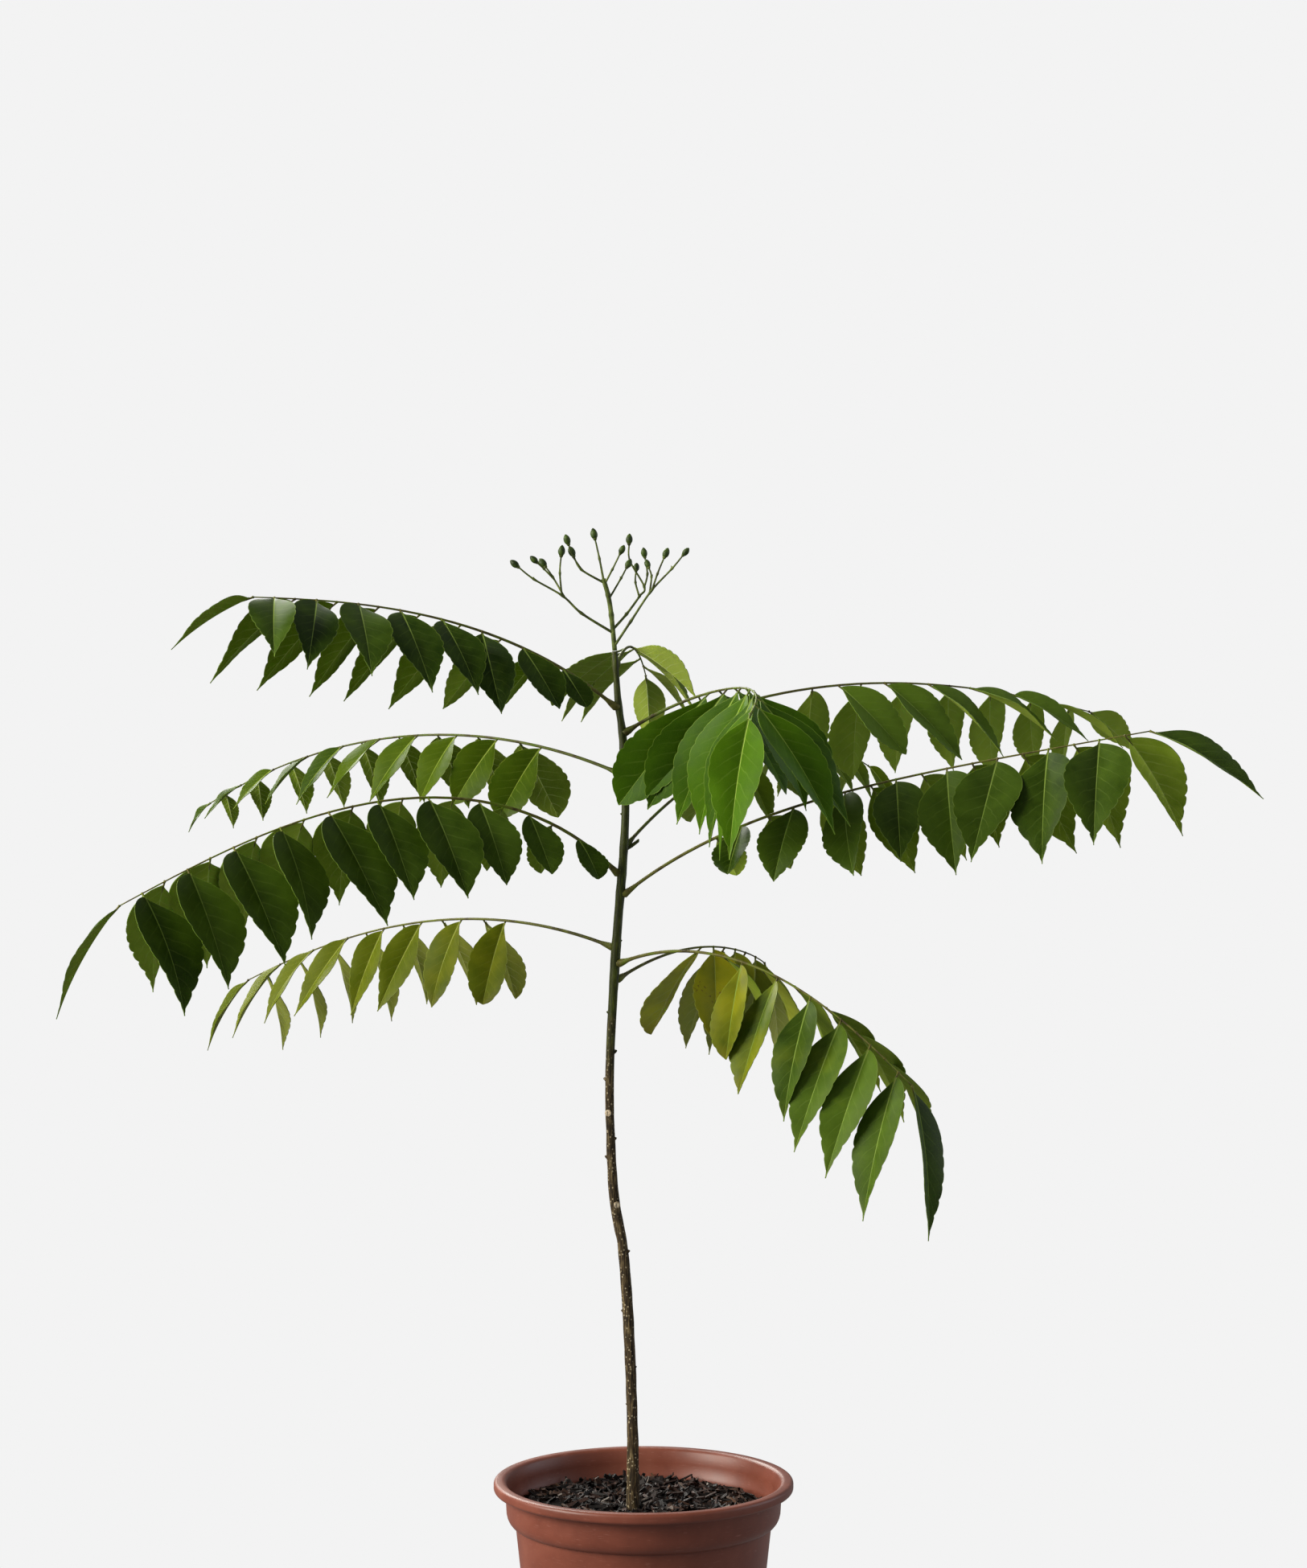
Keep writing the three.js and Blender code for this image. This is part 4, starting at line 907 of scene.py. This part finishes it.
# Flower head: each branch's route from inside its parent, its radius at the root, and
# whether it ends in a bud
flowerHead = {
    "branches": [
        ([(-12.5, 0.3, 474.3), (-14, 0, 489.7), (-15.4, -0.4, 498.4), (-17.5, -0.8, 505.4)],
         1.3, False),
        ([(-13.2, 0, 482), (-26.9, -3, 490.4), (-34.9, -5, 497.7), (-47.2, -8, 504.7),
          (-53.5, -9, 509.6)], 0.8, True),
        ([(-34.1, -4.6, 497.1), (-39.3, -3, 506.1), (-42.2, -1.4, 510.2)], 0.6, True),
        ([(-38.6, -3.3, 504.9), (-43, -4, 509.4), (-45.6, -4.8, 511.8)], 0.5, True),
        ([(-35.3, -5.2, 498), (-36.1, -6, 507.5), (-35.6, -6, 514.4)], 0.6, True),
        ([(-17, -0.7, 503.6), (-26.9, -3, 509.2), (-30, -2.6, 514.6)], 0.7, True),
        ([(-26.4, -3, 508.8), (-30.4, -5, 514.6), (-32.2, -6, 519.4)], 0.5, True),
        ([(-17.4, -0.8, 505), (-19.2, 2, 514.4), (-21, 3, 522.5)], 0.7, True),
        ([(-16.8, -0.6, 503.2), (-13.5, -4, 509.2), (-10.3, -6, 515.5)], 0.6, True),
        ([(-15.1, -0.3, 496.5), (-9.8, 4, 506), (-7.6, 6, 510.4)], 0.6, True),
        ([(-13.4, 0, 483.4), (-7.4, 4, 490.4), (-1.8, 8, 498.4), (0.3, 9, 502.5),
          (-6, 11, 514), (-6.4, 12, 521)], 0.8, True),
        ([(0.1, 8.9, 502), (1.6, 9.5, 508), (0.6, 9, 515)], 0.6, True),
        ([(-1.9, 7.9, 498.2), (-3.6, 10.5, 504.6), (-3.4, 13, 509.4)], 0.6, True),
        ([(-12.6, 0.2, 476.4), (-5.5, -3, 486.9), (3.1, -7, 499.5), (12.3, -10, 509.2),
          (16.7, -12, 514.4)], 0.8, True),
        ([(2.6, -6.8, 498.8), (3.4, -5, 506), (2.4, -4, 509.6)], 0.6, True),
        ([(3.7, -7.3, 500.2), (6, -9, 507), (8.7, -8.4, 513.6)], 0.6, True),
    ],
    "seed": 5, "pedicel": 0.36, "branchShare": 0.82, "steps": 7, "budLength": 5.2,
    "budRadius": 1.55, "cupRadius": 0.95, "cupLength": 1.5, "bractLength": 1.5,
}


def budSkin():
    # closed bud: smooth, dark green, a little waxy
    material, tree, shader = newMaterial("closedBud", Roughness=0.5, IOR=1.45,
                                         Specular_IOR_Level=0.3)
    spot = addNode(tree, "TexCoord").outputs["Object"]
    cloud = addNode(tree, "TexNoise", {"Vector": spot, "Scale": 420, "Detail": 3})
    colour = addNode(tree, "ValToRGB", {0: cloud.outputs[0]}, stops=[
        (0.32, linear("#1c2b08")), (0.7, linear("#43591d"))])
    tree.links.new(colour.outputs[0], shader.inputs["Base Color"])
    # oil glands stand out as pimples 0.35 mm across
    glands = addNode(tree, "TexVoronoi", {"Vector": spot, "Scale": 2400})
    relief = addNode(tree, "Bump", {"Height": glands.outputs["Distance"], "Strength": 0.4,
                                    "Distance": 0.1 * mm}, invert=True)
    tree.links.new(relief.outputs[0], shader.inputs["Normal"])
    return material


def branchSkin():
    # bud stalks: soft green skin with brownish streaks
    material, tree, shader = newMaterial("budStalk", Roughness=0.6, IOR=1.45,
                                         Specular_IOR_Level=0.25)
    spot = addNode(tree, "TexCoord").outputs["Object"]
    streak = addNode(tree, "TexNoise", {"Vector": spot, "Scale": 260, "Detail": 4})
    colour = addNode(tree, "ValToRGB", {0: streak.outputs[0]}, stops=[
        (0.3, linear("#34371a")), (0.72, linear("#747f42")), (0.5, linear("#4a5822"))])
    tree.links.new(colour.outputs[0], shader.inputs["Base Color"])
    return material


def growBud(bm, foot, way, size):
    # a closed bud in its cup: the cup is a short flared tube, the bud a turned drop
    length, radius = flowerHead["budLength"] * size, flowerHead["budRadius"] * size
    cup, cupLength = flowerHead["cupRadius"] * size, flowerHead["cupLength"] * size
    growTube(bm, [foot - way * 0.3, foot + way * 0.25, foot + way * cupLength * 0.6,
                  foot + way * cupLength], [flowerHead["pedicel"], cup * 0.85, cup, cup * 1.06],
             10, 0)
    shares = [0.12, 0.2, 0.32, 0.45, 0.58, 0.7, 0.82, 0.92, 0.98, 1]
    widths = [0.5, 0.72, 0.92, 1, 0.98, 0.88, 0.68, 0.42, 0.22, 0.06]
    growTube(bm, [foot + way * share * length for share in shares],
             [share * radius for share in widths], 12, 1)


def makeFlowerHead():
    draw = random.Random(flowerHead["seed"])
    bm = bmesh.new()
    for route, radius, hasBud in flowerHead["branches"]:
        stops = [Vector(stop) for stop in route]
        points = smoothRoute(stops, flowerHead["steps"])
        count = len(points) - 1
        thick = radius * flowerHead["branchShare"]
        tip = flowerHead["pedicel"] if hasBud else 1.05
        radii = [thick + (tip - thick) * (i / count) ** 0.7 for i in range(count + 1)]
        for i in range(flowerHead["steps"], count, flowerHead["steps"]):
            radii[i] += 0.22  # a joint in the branch
        growTube(bm, points, radii, 9, 0)
        for bend in stops[1:-1]:  # a tiny scale leaf at each joint
            way = Vector((draw.uniform(-1, 1), draw.uniform(-1, 1), 0.8)).normalized()
            reach = flowerHead["bractLength"] * draw.uniform(0.6, 1)
            growTube(bm, [bend, bend + way * reach * 0.5, bend + way * reach],
                     [0.45, 0.32, 0.08], 6, 0)
        if hasBud:
            way = (points[-1] - points[-2]).normalized()
            growBud(bm, points[-1], way, draw.uniform(0.86, 1.04))
    makePiece("flowerHead", bm, [branchSkin(), budSkin()], "flower_buds", "flower_head")


makeFlowerHead()


# Studio: a pale floor that fades into a pale surround, and soft light from the left
studio = {
    "pale": "#f3f3f3", "board": "#b6b8bf", "floorReach": 4, "domeReach": 9,
    "fadeFrom": 0.16, "fadeTo": 0.285, "ambient": ("#f4f5f6", 0.3),
    # name, place, aim, width, height, power, colour
    "lamps": [
        ("windowLight", (-1.95, -0.85, 1.15), (0, 0, 0.35), 1.5, 1.5, 106, "#fff9ee"),
        ("backLight", (-0.8, 1.5, 1.3), (0, 0, 0.4), 1.2, 1, 40, "#fffdf6"),
        ("sideFill", (1.9, 0.3, 0.8), (0, 0, 0.35), 1.4, 1.4, 12, "#eef3ff"),
    ],
}


def makeFloor():
    # matt white board: its far part glows as pale as the surround, so no edge shows
    material, tree, shader = newMaterial("paleBoard", Roughness=0.8,
                                         Base_Color=linear(studio["board"]))
    spot = addNode(tree, "TexCoord").outputs["Object"]
    away = addNode(tree, "VectorMath", {0: spot}, operation="LENGTH")
    share = addNode(tree, "MapRange", {0: away.outputs["Value"], 1: studio["fadeFrom"],
                                       2: studio["fadeTo"], 3: 0, 4: 1},
                    interpolation_type="SMOOTHSTEP")
    glow = addNode(tree, "Emission", {0: linear(studio["pale"]), 1: 1.0})
    mixed = addNode(tree, "MixShader", {0: share.outputs[0], 1: shader.outputs[0],
                                        2: glow.outputs[0]})
    output = [node for node in tree.nodes if node.type == "OUTPUT_MATERIAL"][0]
    tree.links.new(mixed.outputs[0], output.inputs["Surface"])
    bm = bmesh.new()
    bmesh.ops.create_circle(bm, cap_ends=True, radius=studio["floorReach"], segments=96)
    mesh = bpy.data.meshes.new("paleFloor")
    bm.to_mesh(mesh)
    bm.free()
    mesh.materials.append(material)
    floor = bpy.data.objects.new("paleFloor", mesh)
    scene.collection.objects.link(floor)
    floor.visible_diffuse = False
    floor.visible_glossy = False


def makeSurround():
    # a pale dome that only the camera sees, so that it adds no light of its own
    material = newMaterial("paleSurround", Roughness=1, Base_Color=(0, 0, 0, 1),
                           Specular_IOR_Level=0, Emission_Color=linear(studio["pale"]),
                           Emission_Strength=1)[0]
    bm = bmesh.new()
    bmesh.ops.create_uvsphere(bm, u_segments=48, v_segments=24, radius=studio["domeReach"])
    bmesh.ops.reverse_faces(bm, faces=bm.faces)
    mesh = bpy.data.meshes.new("paleSurround")
    bm.to_mesh(mesh)
    bm.free()
    mesh.materials.append(material)
    dome = bpy.data.objects.new("paleSurround", mesh)
    scene.collection.objects.link(dome)
    dome.visible_diffuse = False
    dome.visible_glossy = False
    dome.visible_transmission = False
    dome.visible_shadow = False


makeFloor()
makeSurround()
for name, place, aim, width, height, power, colour in studio["lamps"]:
    lamp = bpy.data.lights.new(name, "AREA")
    lamp.shape = "RECTANGLE"
    lamp.size, lamp.size_y = width, height
    lamp.energy = power
    lamp.color = linear(colour)[:3]
    lampObject = bpy.data.objects.new(name, lamp)
    lampObject.location = place
    lampObject.rotation_euler = (Vector(aim) - Vector(place)).to_track_quat("-Z", "Y").to_euler()
    scene.collection.objects.link(lampObject)
world = bpy.data.worlds.new("studioAir")
world.use_nodes = True
ambient = world.node_tree.nodes["Background"]
ambient.inputs[0].default_value = linear(studio["ambient"][0])
ambient.inputs[1].default_value = studio["ambient"][1]
scene.world = world
scene.view_settings.view_transform = "Standard"
print("the studio is lit")
